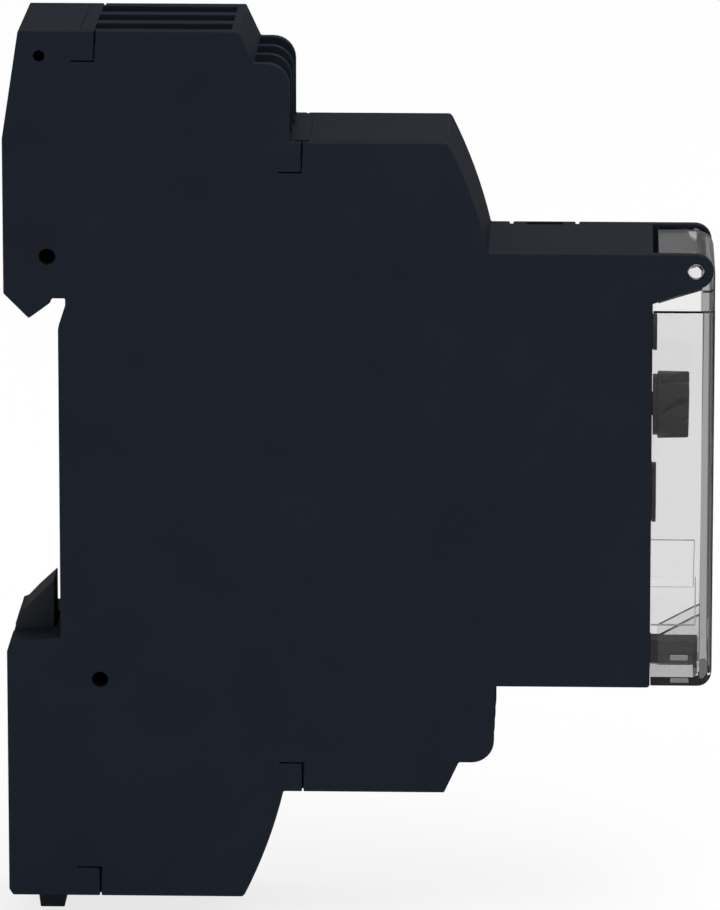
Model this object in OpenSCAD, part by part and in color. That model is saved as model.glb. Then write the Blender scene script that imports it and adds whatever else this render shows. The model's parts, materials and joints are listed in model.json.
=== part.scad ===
// Modular time relay, one module wide, for a 35 mm top-hat rail.
// Frame: X runs along the rail, -Y is the front with the controls, +Z is up.
// The origin is the middle of the flat face that bears on the rail.
// "Depth" is the distance in front of the rail face, so depth = -Y.

/* [Housing] */
// Width of the module along the rail
module_w = 17.5; // [15:0.1:21]
// Height of the housing, without the latch tab
body_h = 90; // [80:1:108]
// Height of the nose that carries the controls
nose_h = 45; // [42:0.5:50]
// Depth of the nose front in front of the rail face
nose_d = 60.15; // [56:0.05:75]
// How far the housing reaches behind the rail face
back_d = 5.5; // [5:0.1:6]
// Thickness of the housing walls
wall = 1.2; // [1:0.05:1.4]
// Depth from one terminal stair to the next
stair_run = 20.8; // [20:0.1:24]
// Depth at which the first terminal stair starts
stair_d = 4; // [3.5:0.1:5]
// Thickness of the terminal covers
lid_t = 1.2; // [1:0.05:1.4]

/* [Rail and latch] */
// Width of the rail
rail_w = 35; // [34.8:0.1:35.4]
// Thickness of the rail's flange
rail_t = 1; // [0.9:0.05:1.2]
// Width of the latch
latch_w = 6; // [4.5:0.1:7.2]
// Travel of the latch from closed to released
latch_travel = 4.6; // [4:0.1:5]
// Diameter of the latch spring
spring_d = 2.6; // [2.2:0.05:2.8]
// Diameter of the spring's wire
spring_wire = 0.35; // [0.25:0.01:0.42]

/* [Terminals] */
// Distance between neighbouring poles
pole_pitch = 5.2; // [4.9:0.05:5.25]
// Width of a wire slot in the terminal cover
slot_w = 3.45; // [3:0.05:3.8]
// Diameter of the terminal screw's head
screw_head_d = 3.3; // [3:0.05:3.5]
// Diameter of the terminal screw's thread
screw_d = 2.4; // [2.2:0.05:2.5]
// Radial clearance of the thread in the cage
thread_gap = 0.05; // [0.02:0.01:0.08]
// Travel of a clamping cage from open to shut
clamp_travel = 2.5; // [2:0.1:2.6]

/* [Clear cover] */
// How far the cover's front face stands in front of the nose
cover_h = 6.3; // [5.9:0.05:8]
// Thickness of the cover's front wall
cover_front_t = 1.25; // [1.2:0.05:1.7]
// Thickness of the cover's other walls
cover_t = 1.1; // [1:0.05:1.2]
// Radius of the ear that holds the hinge pin
ear_r = 1.75; // [1.5:0.05:2]
// Radius of the hinge pin
pin_r = 0.78; // [0.6:0.01:1]
// Radial clearance of the hinge pin
pin_gap = 0.07; // [0.03:0.01:0.1]

/* [Controls] */
// Diameter of the time knob
knob_d = 6.9; // [6:0.1:8]
// Height of the time knob
knob_h = 3.6; // [2.6:0.1:3.8]
// Height of the time knob's axis above the rail's centreline
knob_z = 5.3; // [5:0.1:5.6]
// Diameter of the function selector
selector_d = 6.15; // [5.5:0.05:6.3]
// Height of the function selector's axis
selector_z = -3.9; // [-4.3:0.1:-3.7]
// Diameter of the range selector
range_d = 3.7; // [3:0.05:4.2]
// Height of the range selector's axis
range_z = 12.85; // [12.6:0.05:13.2]
// How far the two selectors stand out of the front plate
selector_h = 0.5; // [0.3:0.05:0.8]
// Radius of the adjusters' stems
stem_r = 1.2; // [1:0.05:1.35]

/* [Electronics] */
// Thickness of the main board
board_t = 1.6; // [1:0.1:1.8]
// Length of the relay along the depth
relay_l = 28; // [26:0.5:30]
// Width of the relay along the height
relay_w = 13; // [12:0.1:14]

/* [Hidden] */
$fn = 48;

LEFT = -1;
MIDDLE = 0;
RIGHT = 1;

// Colours
shell_c = [0.12, 0.135, 0.17];
metal_c = [0.72, 0.72, 0.7];
brass_c = [0.8, 0.65, 0.35];
board_c = [0.1, 0.36, 0.2];
knob_c = [0.25, 0.25, 0.26];

// Widths
half_w = module_w / 2;
in_x = half_w - wall;
part_gap = 0.15;

// Heights
top_z = body_h / 2;
nose_z = nose_h / 2;
rise = (body_h - nose_h) / 4;
step_z = nose_z + rise;

// Stairs, measured from the inner corner of each stair: u forward, v outward
block_u = 14.4;
slant_u = 1.5;
fin_u = 19.5;
fin_v = 8.05;
fin_r = 2.3;
fin_t = 1;
blank_u = 14.75;
blank_foot_u = 18.75;
blank_arc_r = 50;
stair_2_d = stair_d + stair_run;
seam_d = 2.4;

// Rear of the housing
hook_z = rail_w / 2 + 0.12;
block_top_z = -(rail_w / 2 + 0.2);
rear_top_z = top_z - 11;
rear_slant = 1.7;
hook_step = 0.75;

// Clip slits in the side walls
slit_w = 0.15;
slit_v = 3.1;
slit_u = 2.5;

// Snap tongue in the top edge of the side cover, with a pocket for a release tool
tongue_d = (stair_2_d + blank_foot_u + nose_d) / 2 - 2.8;
tongue_l = 6.4;
tongue_slit_w = 0.36;
tongue_slit_h = 0.6;
pocket_l = 3.6;
pocket_h = 0.4;
pocket_rim = 0.4;

// Peg holes, each as [depth, height, radius]
pegs = [
    [-1.7, top_z - 2.55, 0.58],
    [-1.05, hook_z + 4.3, 0.82],
    [stair_d, -nose_z + 0.4, 0.82]
];
boss_wall = 0.9;
boss_x = in_x - 3.55;
peg_gap = 0.04;

// Hinge of the cover
cover_d = nose_d + cover_h;
hinge_z = nose_z - ear_r;
hinge_d = cover_d - 1.95;
cover_gap = 0.06;
cover_top_z = nose_z - 0.3;
cover_low_z = -nose_z + 0.2;
cover_floor_t = 0.75;
cover_floor_z = cover_low_z + cover_floor_t;
cheek_x = in_x - 0.2;
cover_x = half_w - part_gap;
shoulder_z = hinge_z - 4.25;
grip_z = -13.4;
grip_h = 5.05;
grip_deep = 0.28;
cover_in_d = cover_d - cover_front_t;
cover_edge_r = 0.7;
cover_rear_d = nose_d + 0.55;
ear_foot_z = hinge_z - 3.3;
cheek_drop = 0.42;
lug_x = 1.4;
lug_d = cover_in_d - 0.15;

// Latch channel
latch_x = latch_w / 2;
slide_gap = 0.2;
latch_front_d = -1.2;
latch_back_d = -back_d + wall + slide_gap;
channel_front_d = latch_front_d + 0.3;
tooth_z = block_top_z + latch_travel;
window_top_z = block_top_z - 13.3;
rib_top_z = -(top_z - 2.8);
rib_t = 1;
window_low_z = rib_top_z - rib_t - 0.4;
window_x = latch_x - 1.3;

// Terminal cage, measured like the stairs
cage_u0 = 1.6;
cage_len = 7.8;
cage_w = 4.1;
cage_v0 = 1.6;
cage_v1 = 7.3;
cage_plate = 1.2;
screw_v = 4.45;
bar_u = 6.4;
bar_t = 0.8;
bar_w = 2.8;
head_u = cage_u0 + cage_len + clamp_travel + 0.4;
head_l = 1.6;
carrier_u0 = 0.8;
carrier_u1 = block_u + slant_u - lid_t - 0.7;
carrier_v1 = 8.9;
chamber_x = cage_w / 2 + 0.15;

// Front board and adjusters
plate_t = 1.5;
plate_d = nose_d - plate_t;
front_board_d = nose_d - 6.65;
front_board_t = 1.2;
adjuster_d = front_board_d + front_board_t;
adjuster_top_d = plate_d - 0.45;
led_x = 3.4;
led_z = nose_z - 4.7;
led_r = 0.9;

// Main board
board_x = in_x - board_t - 1.15;
board_front_d = front_board_d - 0.3;
board_rear_d = hook_step + wall + 0.05;

// Components on the main board: h is how far one stands off the board, l is along the depth, w along
// the height, and d and z are where it starts
connector_h = 2.6;
connector_l = 2.3;
connector_w = 10;
connector_z = -19;
film_cap_h = 9;
film_cap_d = 39.5;
film_cap_z = 8.5;
can_d = 44.5;
large_can_r = 4;
large_can_h = 11;
large_can_z = 1.5;
small_can_r = 3.15;
small_can_h = 9.5;
small_can_z = -9;
varistor_r = 4.4;
varistor_l = 3.5;
varistor_d = 6;
varistor_z = 20;
bridge_h = 3.4;
bridge_l = 7;
bridge_w = 6;
bridge_d = 26;
bridge_z = 14;
resistor_r = 1.2;
resistor_w = 7;
resistor_d = [14, 17.5, 21];
resistor_z = 14;
chip_h = 1.7;
chip_l = 6;
chip_w = 6;
chip_d = 30;
chip_z = -16.5;

// Relay
relay_d = 8;
relay_back_x = board_x - 1.4;
relay_wall = 0.7;
relay_top_x = -in_x + 0.75;
coil_x = relay_back_x - 4.9;
coil_d0 = relay_d + 3.4;
coil_d1 = coil_d0 + 12.2;
flange_t = 0.8;
flange_r = 4;
armature_gap = 0.6;
armature_d = coil_d1 + flange_t + armature_gap;
armature_t = 1.2;
pivot_x = relay_back_x - 0.5;
contact_x = relay_top_x + relay_wall + 1.6;

// ---------------------------------------------------------------- helpers

// Points of an arc about c, with s = -1 for the mirrored lower half
function arc(c, r, a0, a1, s = 1, n = 8) =
    [for (i = [0:n]) let (a = a0 + (a1 - a0) * i / n) [c[0] + r * cos(a), c[1] + s * r * sin(a)]];

// Points of the arc of radius r from a to b, bulging to the left of the way from a to b
function chord_arc(a, b, r, n = 8) =
    let (
        way = (b - a) / norm(b - a),
        c = (a + b) / 2 + [way[1], -way[0]] * sqrt(r * r - pow(norm(b - a) / 2, 2)),
        a0 = atan2(a[1] - c[1], a[0] - c[0]),
        turn = -2 * asin(norm(b - a) / 2 / r)
    )
    [for (i = [0:n]) c + r * [cos(a0 + turn * i / n), sin(a0 + turn * i / n)]];

function reversed(list) = [for (i = [len(list) - 1:-1:0]) list[i]];

// Moves stair points to the stair that starts at depth d and height z
function placed(points, d, z, s) = [for (p = points) [d + p[0], z + s * p[1]]];

// Depth and height to the Y and Z of the frame
function yz(points) = [for (p = points) [-p[0], p[1]]];

// A slab along X with the outline given as depth and height
module slab(x0, x1, points) {
    translate([x0, 0, 0])
        rotate([90, 0, 90])
            linear_extrude(x1 - x0)
                polygon(yz(points));
}

module block(x0, x1, d0, d1, z0, z1) {
    translate([x0, -d1, z0])
        cube([x1 - x0, d1 - d0, z1 - z0]);
}

module rod_x(r, x0, x1, d, z) {
    translate([x0, -d, z])
        rotate([0, 90, 0])
            cylinder(r = r, h = x1 - x0);
}

module rod_y(r, d0, d1, x, z) {
    translate([x, -d0, z])
        rotate([90, 0, 0])
            cylinder(r = r, h = d1 - d0);
}

// Puts a part drawn for an upper stair on one of the four stairs
module on_stair(d, z, s) {
    translate([0, -d, z])
        mirror([0, 0, s < 0 ? 1 : 0])
            children();
}

module on_top_terminals() {
    on_stair(stair_d, step_z, 1)
        children();
}

module on_bottom_terminals() {
    on_stair(stair_2_d, -nose_z, -1)
        children();
}

// ---------------------------------------------------------------- outlines

fin_corner = arc([fin_u - fin_r, fin_v - fin_r], fin_r, 90, 0);

terminal_stair = concat([[block_u, rise], [block_u + slant_u, fin_v]], fin_corner, [[fin_u, 0]]);

function blank_front(u_low) = chord_arc([blank_u, rise - 0.25], [u_low, 0], blank_arc_r);

blank_stair = concat([[blank_u - 0.25, rise]], blank_front(blank_foot_u));

hook = [
    [0, hook_z - 3.2], [0.1, hook_z - 2.7], [hook_step, hook_z - 0.7], [hook_step, hook_z],
    [-0.6, hook_z], [-0.75, hook_z - 0.45], [-2.65, hook_z - 1.85], [-2.95, hook_z - 2],
    [-3.2, hook_z - 1.8], [-back_d, hook_z + 0.5]
];

latch_block = [
    [-back_d + 0.4, -top_z], [-back_d, -top_z + 0.6], [-back_d, block_top_z - 1.5],
    [-back_d + 0.3, block_top_z - 0.6], [0, block_top_z]
];

ear = concat(
    [[hinge_d, nose_z]],
    arc([hinge_d, hinge_z], ear_r, 80, -70, 1, 14),
    [[nose_d, ear_foot_z]]
);

function outline(front) = concat(
    [[-back_d + rear_slant, top_z]],
    placed(terminal_stair, stair_d, step_z, 1),
    placed(blank_stair, stair_2_d, nose_z, 1),
    front,
    arc([nose_d - 0.35, -nose_z + 0.35], 0.35, 0, -90, 1, 4),
    reversed(placed(terminal_stair, stair_2_d, -nose_z, -1)),
    reversed(placed(blank_stair, stair_d, -step_z, -1)),
    latch_block,
    hook,
    [[-back_d, rear_top_z]]
);

// ---------------------------------------------------------------- housing

// The L-shaped slit beside the clip of one terminal cover
module clip_slit(d, z, s) {
    on_stair(d, z, s) {
        block(-half_w - 1, half_w + 1, -slit_w, 0, rise - slit_v, rise + 1);
        block(-half_w - 1, half_w + 1, -slit_u, 0, rise - slit_v, rise - slit_v + slit_w);
    }
}

module clip_slits() {
    clip_slit(stair_d, step_z, 1);
    clip_slit(stair_2_d, nose_z, 1);
    clip_slit(stair_2_d, -nose_z, -1);
    clip_slit(stair_d, -step_z, -1);
}

// The two slits that free the side cover's snap tongue
module tongue_slits() {
    for (s = [-1, 1]) {
        d = tongue_d + s * (tongue_l + tongue_slit_w) / 2;
        block(in_x, half_w + 1, d - tongue_slit_w / 2, d + tongue_slit_w / 2,
            nose_z - tongue_slit_h, nose_z + 1);
    }
}

// The pocket at the tongue's root, half in the case and half in the side cover
module release_pocket() {
    block(in_x - pocket_rim, half_w - pocket_rim, tongue_d - pocket_l / 2, tongue_d + pocket_l / 2,
        nose_z - pocket_h, nose_z + 1);
}

module side_wall(x0, x1) {
    difference() {
        slab(x0, x1, outline(ear));
        clip_slits();
        rod_x(pin_r + pin_gap, x0 - 1, x1 + 1, hinge_d, hinge_z);
    }
}

// The walls that run round the housing between its two sides
module rim() {
    full = outline([[nose_d, nose_z]]);
    translate([-in_x, 0, 0])
        rotate([90, 0, 90])
            linear_extrude(2 * in_x)
                difference() {
                    polygon(yz(full));
                    offset(delta = -wall)
                        polygon(yz(full));
                }
}

module latch_channel_walls() {
    low_z = -top_z + wall;
    block(-in_x, in_x, channel_front_d, channel_front_d + wall, low_z - 0.1, block_top_z - 0.3);
    for (s = [-1, 1])
        block(
            s < 0 ? -latch_x - slide_gap - 1 : latch_x + slide_gap,
            s < 0 ? -latch_x - slide_gap : latch_x + slide_gap + 1,
            -back_d + wall - 0.1, channel_front_d + 0.1, low_z - 0.1, block_top_z - 1
        );
    block(-window_x + 0.3, window_x - 0.3, -back_d + wall - 0.1, channel_front_d + 0.1,
        rib_top_z - rib_t, rib_top_z);
}

// Room for the latch: its channel mouths, its tooth and the overhang of its head
module latch_room() {
    x = latch_x + slide_gap;
    block(-x, x, latch_back_d - 0.2, channel_front_d, -top_z - 1, -top_z + wall + 0.1);
    block(-x, x, latch_back_d - 0.2, channel_front_d, block_top_z - wall - 0.6, block_top_z + 1);
    block(-x, x, -back_d - 1, latch_back_d, block_top_z - 1.7 - latch_travel - 0.3, block_top_z + 1);
    block(-x, x, -1, 0.6, block_top_z - 0.1, tooth_z + 0.5);
}

module main_case() {
    color(shell_c)
        difference() {
            union() {
                side_wall(-half_w, -in_x);
                difference() {
                    rim();
                    block(-half_w, half_w, seam_d, nose_d + 1, nose_z, top_z + 1);
                    block(-half_w, half_w, seam_d, nose_d + 1, -top_z - 1, -nose_z);
                    block(-half_w, half_w, plate_d, nose_d + 1, -nose_z + wall, nose_z - wall);
                }
                latch_channel_walls();
                for (p = pegs)
                    rod_x(p[2] + boss_wall, -in_x - 0.1, boss_x, p[0], p[1]);
            }
            latch_room();
            release_pocket();
            for (p = pegs)
                rod_x(p[2], -half_w - 1, boss_x + 1, p[0], p[1]);
        }
}

module side_cover() {
    color(shell_c)
        difference() {
            union() {
                side_wall(in_x, half_w);
                for (p = pegs)
                    rod_x(p[2] - peg_gap, 0, in_x + 0.1, p[0], p[1]);
            }
            tongue_slits();
            release_pocket();
        }
}

// The plate behind the clear cover, with its sealing lug
module front_plate() {
    color(shell_c)
        difference() {
            union() {
                block(-in_x, in_x, plate_d, nose_d, -nose_z + wall, nose_z - wall);
                block(-lug_x, lug_x, nose_d, lug_d, cover_low_z + 0.15, cover_low_z + 3.1);
            }
            block(-2, 2, lug_d - 2.8, lug_d - 0.95, cover_low_z + 0.35, cover_low_z + 1.55);
            rod_y(stem_r + 0.3, plate_d - 1, nose_d + 1, 0, knob_z);
            rod_y(selector_d / 2 + 0.12, plate_d - 1, nose_d + 1, 0, selector_z);
            rod_y(range_d / 2 + 0.1, plate_d - 1, nose_d + 1, 0, range_z);
            for (x = [-led_x, led_x])
                rod_y(led_r + 0.1, plate_d - 1, nose_d + 1, x, led_z);
        }
}

// ---------------------------------------------------------------- terminal covers

module terminal_cover(rear_u, lip_u) {
    front_u = block_u + slant_u;
    profile = [
        [rear_u, rise], [block_u, rise], [front_u, fin_v], [front_u, 0], [lip_u, 0],
        [lip_u, -lid_t], [front_u - lid_t, -lid_t], [front_u - lid_t, fin_v - 0.3],
        [block_u - lid_t + 0.3, rise - lid_t], [rear_u + lid_t, rise - lid_t],
        [rear_u + lid_t, 0.8], [rear_u, 0.8]
    ];
    fin = concat([[front_u - 0.1, fin_v]], fin_corner, [[fin_u, 0], [front_u - 0.1, 0]]);
    color(shell_c)
        difference() {
            union() {
                slab(-in_x, in_x, profile);
                for (s = [-0.5, 0.5])
                    slab(s * pole_pitch - fin_t / 2, s * pole_pitch + fin_t / 2, fin);
            }
            for (pole = [LEFT, MIDDLE, RIGHT]) {
                x = pole * pole_pitch;
                block(x - slot_w / 2, x + slot_w / 2, -0.15, block_u - 0.8, rise - lid_t - 1, rise + 1);
                rod_y(screw_head_d / 2 - 0.1, front_u - lid_t - 1, front_u + 1, x, screw_v);
            }
        }
}

module blank_cover(rear_u, step) {
    lip_v = 0.4;
    profile = concat(
        [[rear_u, rise], [blank_u - 0.25, rise]], blank_front(blank_foot_u), [[rear_u, 0]]
    );
    color(shell_c)
        union() {
            translate([-in_x, 0, 0])
                rotate([90, 0, 90])
                    linear_extrude(2 * in_x)
                        difference() {
                            polygon(yz(profile));
                            offset(delta = -lid_t)
                                polygon(yz(profile));
                            translate([-blank_foot_u + 1.5, -1])
                                square([blank_foot_u - 1.5 - rear_u - lid_t, lid_t + 2]);
                            translate([-rear_u - lid_t - 1, -1])
                                square([lid_t + 2, 1 + rise - lid_t - lip_v]);
                        }
            if (step)
                block(-in_x, in_x, -0.8, 0.6, rise - 0.1, rise + 0.12);
        }
}

module top_terminal_cover() {
    on_top_terminals()
        terminal_cover(seam_d - stair_d, fin_u);
}

module bottom_terminal_cover() {
    on_bottom_terminals()
        terminal_cover(blank_foot_u - stair_run, fin_u - wall);
}

module top_blank_cover() {
    on_stair(stair_2_d, nose_z, 1)
        blank_cover(fin_u - stair_run, true);
}

module bottom_blank_cover() {
    on_stair(stair_d, -step_z, -1)
        blank_cover(seam_d - stair_d, false);
}

// ---------------------------------------------------------------- terminals

// The insulating block that guides the three cages
module terminal_carrier() {
    color([0.2, 0.2, 0.21])
        difference() {
            block(-in_x + 0.15, in_x - 0.15, carrier_u0, carrier_u1, 0.2, carrier_v1);
            for (pole = [LEFT, MIDDLE, RIGHT]) {
                x = pole * pole_pitch;
                block(x - chamber_x, x + chamber_x, cage_u0 - 0.2, head_u - 0.1, 1, carrier_v1 + 1);
                rod_y(screw_head_d / 2 + 0.15, head_u - 0.3, carrier_u1 + 1, x, screw_v);
                block(x - bar_w / 2 - 0.2, x + bar_w / 2 + 0.2, bar_u - 0.2, bar_u + bar_t + 0.2, -1, 1.1);
            }
        }
}

// Three fixed contacts, each with a tail bent to the main board
module busbars() {
    tail_v = [-4.9, -3.5, -2.2];
    color(brass_c)
        for (pole = [LEFT, MIDDLE, RIGHT]) {
            x = pole * pole_pitch;
            v = tail_v[pole + 1];
            foot_v = pole == RIGHT ? -1.5 : v;
            x0 = x - bar_w / 2;
            union() {
                block(x0, x + bar_w / 2, bar_u, bar_u + bar_t, foot_v, cage_v1 - 0.3);
                block(x0, board_x - 0.1, bar_u, bar_u + bar_t, v, v + 0.8);
            }
        }
}

module terminal_screw(pole) {
    x = pole * pole_pitch;
    tip_u = bar_u + bar_t + 0.1;
    color(metal_c)
        difference() {
            union() {
                rod_y(screw_d / 2, tip_u, head_u + 0.1, x, screw_v);
                rod_y(screw_head_d / 2, head_u, head_u + head_l, x, screw_v);
            }
            block(x - 1.3, x + 1.3, head_u + head_l - 0.8, head_u + head_l + 1,
                screw_v - 0.3, screw_v + 0.3);
            block(x - 0.3, x + 0.3, head_u + head_l - 0.8, head_u + head_l + 1,
                screw_v - 1, screw_v + 1);
        }
}

module cage(pole) {
    x = pole * pole_pitch;
    u1 = cage_u0 + cage_len;
    color(metal_c)
        difference() {
            block(x - cage_w / 2, x + cage_w / 2, cage_u0, u1, cage_v0, cage_v1);
            block(x - bar_w / 2 - 0.1, x + bar_w / 2 + 0.1, cage_u0 + cage_plate, u1 - cage_plate - 0.2,
                cage_v0 - 1, cage_v1 + 1);
            rod_y(screw_d / 2 + thread_gap, u1 - cage_plate - 1, u1 + 1, x, screw_v);
        }
}

// ---------------------------------------------------------------- boards and electronics

module main_board() {
    low_z = -nose_z + 2;
    points = [
        [board_rear_d, step_z - 1.75], [stair_2_d + 13.5, step_z - 1.75], [stair_2_d + 16.5, nose_z - 1.5],
        [board_front_d, nose_z - 2], [board_front_d, low_z], [stair_d + 18, low_z],
        [stair_d + 13.5, -top_z + 2.5], [board_rear_d, -top_z + 2.5]
    ];
    color(board_c)
        difference() {
            slab(board_x, board_x + board_t, points);
            rod_x(1.4, 0, in_x, pegs[2][0], pegs[2][1]);
        }
}

module front_board() {
    color(board_c)
        difference() {
            block(-in_x + 0.3, in_x - 0.3, front_board_d, adjuster_d, -nose_z + 2, nose_z - 2);
            rod_y(0.6, front_board_d - 1, adjuster_d + 1, -in_x + 1.6, -nose_z + 3.4);
        }
}

module board_connector() {
    color([0.1, 0.1, 0.1])
        block(board_x - connector_h, board_x, board_front_d - connector_l, front_board_d - 0.05,
            connector_z, connector_z + connector_w);
}

module relay_base() {
    color([0.15, 0.15, 0.16])
        block(relay_back_x, board_x, relay_d, relay_d + relay_l, -relay_w / 2, relay_w / 2);
}

module relay_cover() {
    w = relay_w / 2;
    color([0.25, 0.4, 0.7])
        difference() {
            block(relay_top_x, relay_back_x, relay_d, relay_d + relay_l, -w, w);
            block(relay_top_x + relay_wall, relay_back_x + 1, relay_d + relay_wall,
                relay_d + relay_l - relay_wall, -w + relay_wall, w - relay_wall);
        }
}

module relay_bobbin() {
    color([0.85, 0.85, 0.8])
        difference() {
            union() {
                rod_y(flange_r, coil_d0 - flange_t, coil_d0, coil_x, 0);
                rod_y(2.1, coil_d0 - 0.1, coil_d1 + 0.1, coil_x, 0);
                rod_y(flange_r, coil_d1, coil_d1 + flange_t, coil_x, 0);
            }
            rod_y(1.55, coil_d0 - 2, coil_d1 + 2, coil_x, 0);
        }
}

module relay_coil() {
    color([0.75, 0.4, 0.2])
        difference() {
            rod_y(3.8, coil_d0 + 0.05, coil_d1 - 0.05, coil_x, 0);
            rod_y(2.15, coil_d0 - 1, coil_d1 + 1, coil_x, 0);
        }
}

// The core and the L-shaped yoke
module relay_yoke() {
    back_d = coil_d0 - flange_t;
    color([0.6, 0.6, 0.62])
        union() {
            rod_y(1.5, back_d - 1.1, coil_d1 + flange_t, coil_x, 0);
            block(coil_x - 3.5, relay_back_x, back_d - 1.3, back_d - 0.1, -3.5, 3.5);
            block(relay_back_x - 0.8, relay_back_x, back_d - 1.3, armature_d - 0.3, -3.5, 3.5);
        }
}

// The plate that the coil pulls in, with its contact
module relay_armature() {
    color([0.62, 0.62, 0.6])
        union() {
            block(coil_x - 3.9, pivot_x, armature_d, armature_d + armature_t, -3.5, 3.5);
            rod_y(0.9, armature_d + armature_t - 0.1, armature_d + armature_t + 0.8, contact_x, 0);
        }
}

// The fixed contact blade, standing on the relay's base
module relay_contact() {
    d = armature_d + armature_t + 1;
    color(brass_c)
        union() {
            block(contact_x - 1.2, relay_back_x, d + 0.8, d + 1.2, -1.8, 1.8);
            rod_y(0.9, d, d + 0.9, contact_x, 0);
        }
}

module film_capacitor() {
    color([0.8, 0.65, 0.15])
        block(board_x - film_cap_h, board_x, film_cap_d, board_front_d - 1.5, film_cap_z, nose_z - 3);
}

module electrolytic_capacitors() {
    color([0.15, 0.2, 0.35]) {
        rod_x(large_can_r, board_x - large_can_h, board_x, can_d, large_can_z);
        rod_x(small_can_r, board_x - small_can_h, board_x, can_d, small_can_z);
    }
}

module varistor() {
    color([0.2, 0.35, 0.6])
        rod_y(varistor_r, varistor_d, varistor_d + varistor_l, board_x - varistor_r - 0.1, varistor_z);
}

module bridge_rectifier() {
    color([0.1, 0.1, 0.1])
        block(board_x - bridge_h, board_x, bridge_d, bridge_d + bridge_l, bridge_z, bridge_z + bridge_w);
}

module dropper_resistors() {
    color([0.45, 0.6, 0.65])
        for (d = resistor_d)
            translate([board_x - resistor_r - 0.1, -d, resistor_z])
                cylinder(r = resistor_r, h = resistor_w);
}

module microcontroller() {
    color([0.1, 0.1, 0.1])
        block(board_x - chip_h, board_x, chip_d, chip_d + chip_l, chip_z, chip_z + chip_w);
}

// ---------------------------------------------------------------- adjusters and lamps

module adjuster_body(half, z) {
    difference() {
        block(-half, half, adjuster_d, adjuster_top_d, z - half, z + half);
        rod_y(stem_r + 0.05, adjuster_d + 0.8, adjuster_top_d + 1, 0, z);
    }
}

module time_potentiometer() {
    color([0.2, 0.3, 0.55])
        adjuster_body(3.5, knob_z);
}

module function_switch() {
    color([0.15, 0.15, 0.16])
        adjuster_body(3.3, selector_z);
}

module range_switch() {
    color([0.15, 0.15, 0.16])
        adjuster_body(2.4, range_z);
}

module indicator_leds() {
    color([0.6, 0.85, 0.5])
        for (x = [-led_x, led_x])
            rod_y(led_r, adjuster_d, adjuster_d + 1.6, x, led_z);
}

module light_pipes() {
    color([0.9, 0.95, 0.9])
        for (x = [-led_x, led_x])
            union() {
                rod_y(led_r, adjuster_d + 1.7, nose_d, x, led_z);
                rod_y(led_r + 0.4, plate_d - 0.9, plate_d - 0.1, x, led_z);
            }
}

// A rotor with a screwdriver slot that turns in the front plate
module slotted_rotor(d, z) {
    r = d / 2;
    face_d = nose_d + selector_h;
    color(knob_c)
        difference() {
            union() {
                rod_y(stem_r, adjuster_d + 1, plate_d, 0, z);
                rod_y(r, plate_d - 0.1, face_d, 0, z);
            }
            block(-0.4, 0.4, face_d - 0.6, face_d + 1, z - r * 0.8, z + r * 0.8);
        }
}

module function_selector() {
    slotted_rotor(selector_d, selector_z);
}

module range_selector() {
    slotted_rotor(range_d, range_z);
}

module knob_shaft() {
    color([0.85, 0.85, 0.83])
        rod_y(stem_r, adjuster_d + 1, nose_d + knob_h - 1, 0, knob_z);
}

module time_knob() {
    base_d = nose_d + 0.12;
    color(knob_c)
        difference() {
            union() {
                rod_y(knob_d / 2, base_d, base_d + 0.55, 0, knob_z);
                for (i = [0:11])
                    translate([0, -base_d - 0.5, knob_z])
                        rotate([0, i * 30, 0])
                            rotate([90, 0, 0])
                                translate([-knob_d / 2 + 0.12, -0.45, 0])
                                    cube([knob_d / 2, 0.9, knob_h - 0.55]);
                rod_y(knob_d / 2 - 0.45, base_d + 0.5, base_d + knob_h - 0.05, 0, knob_z);
            }
            rod_y(stem_r + 0.02, base_d - 1, nose_d + knob_h - 0.9, 0, knob_z);
            block(-0.4, 0.4, base_d + knob_h - 0.5, base_d + knob_h + 1, knob_z + 0.2, knob_z + 3);
        }
}

// ---------------------------------------------------------------- clear cover

cover_outer = concat(
    [[cover_rear_d, cover_top_z]],
    arc([cover_d - 2, cover_top_z - 2], 2, 90, 0),
    arc([cover_d - 1.5, cover_low_z + 1.5], 1.5, 0, -90),
    [
        [nose_d + cover_gap, cover_low_z], [nose_d + cover_gap, shoulder_z],
        [cover_rear_d, shoulder_z + 0.1]
    ]
);

cover_inner = [
    [nose_d - 1, cover_top_z - cover_t], [cover_in_d - 0.6, cover_top_z - cover_t],
    [cover_in_d, cover_top_z - cover_t - 0.6], [cover_in_d, cover_floor_z + 0.6],
    [cover_in_d - 0.6, cover_floor_z], [nose_d - 1, cover_floor_z]
];

// The lower edge of the plate inside an ear, just below the ear's own
cheek_low = [
    [cover_rear_d, ear_foot_z + (cover_rear_d - nose_d) / 3 - cheek_drop],
    [cover_in_d + 0.1, ear_foot_z + (cover_in_d - nose_d) / 3 - cheek_drop]
];

// The room within half-width x whose two long front edges are rounded
module cover_room(x, z0, z1) {
    r = cover_edge_r;
    translate([0, 0, z0])
        linear_extrude(z1 - z0)
            polygon(concat(
                [[-x, 1 - nose_d]],
                arc([-x + r, r - cover_d], r, 180, 270),
                arc([x - r, r - cover_d], r, 270, 360),
                [[x, 1 - nose_d]]
            ));
}

// Cuts the cover's bent front strip to one stretch of its height
module cover_strip(x, z0, z1) {
    intersection() {
        difference() {
            slab(-x, x, cover_outer);
            slab(-x - 1, x + 1, cover_inner);
        }
        cover_room(x, z0, z1);
    }
}

module cover_side(x0, x1) {
    intersection() {
        slab(x0, x1, cover_outer);
        block(x0, x1, nose_d + cover_gap, cover_d, cover_low_z, shoulder_z);
        cover_room(cover_x, cover_low_z - 1, shoulder_z + 1);
    }
}

module cover_cheek(x0, x1) {
    intersection() {
        slab(x0, x1, cover_outer);
        slab(x0, x1, concat(cheek_low, [[cover_in_d + 0.1, nose_z], [cover_rear_d, nose_z]]));
    }
}

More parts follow.
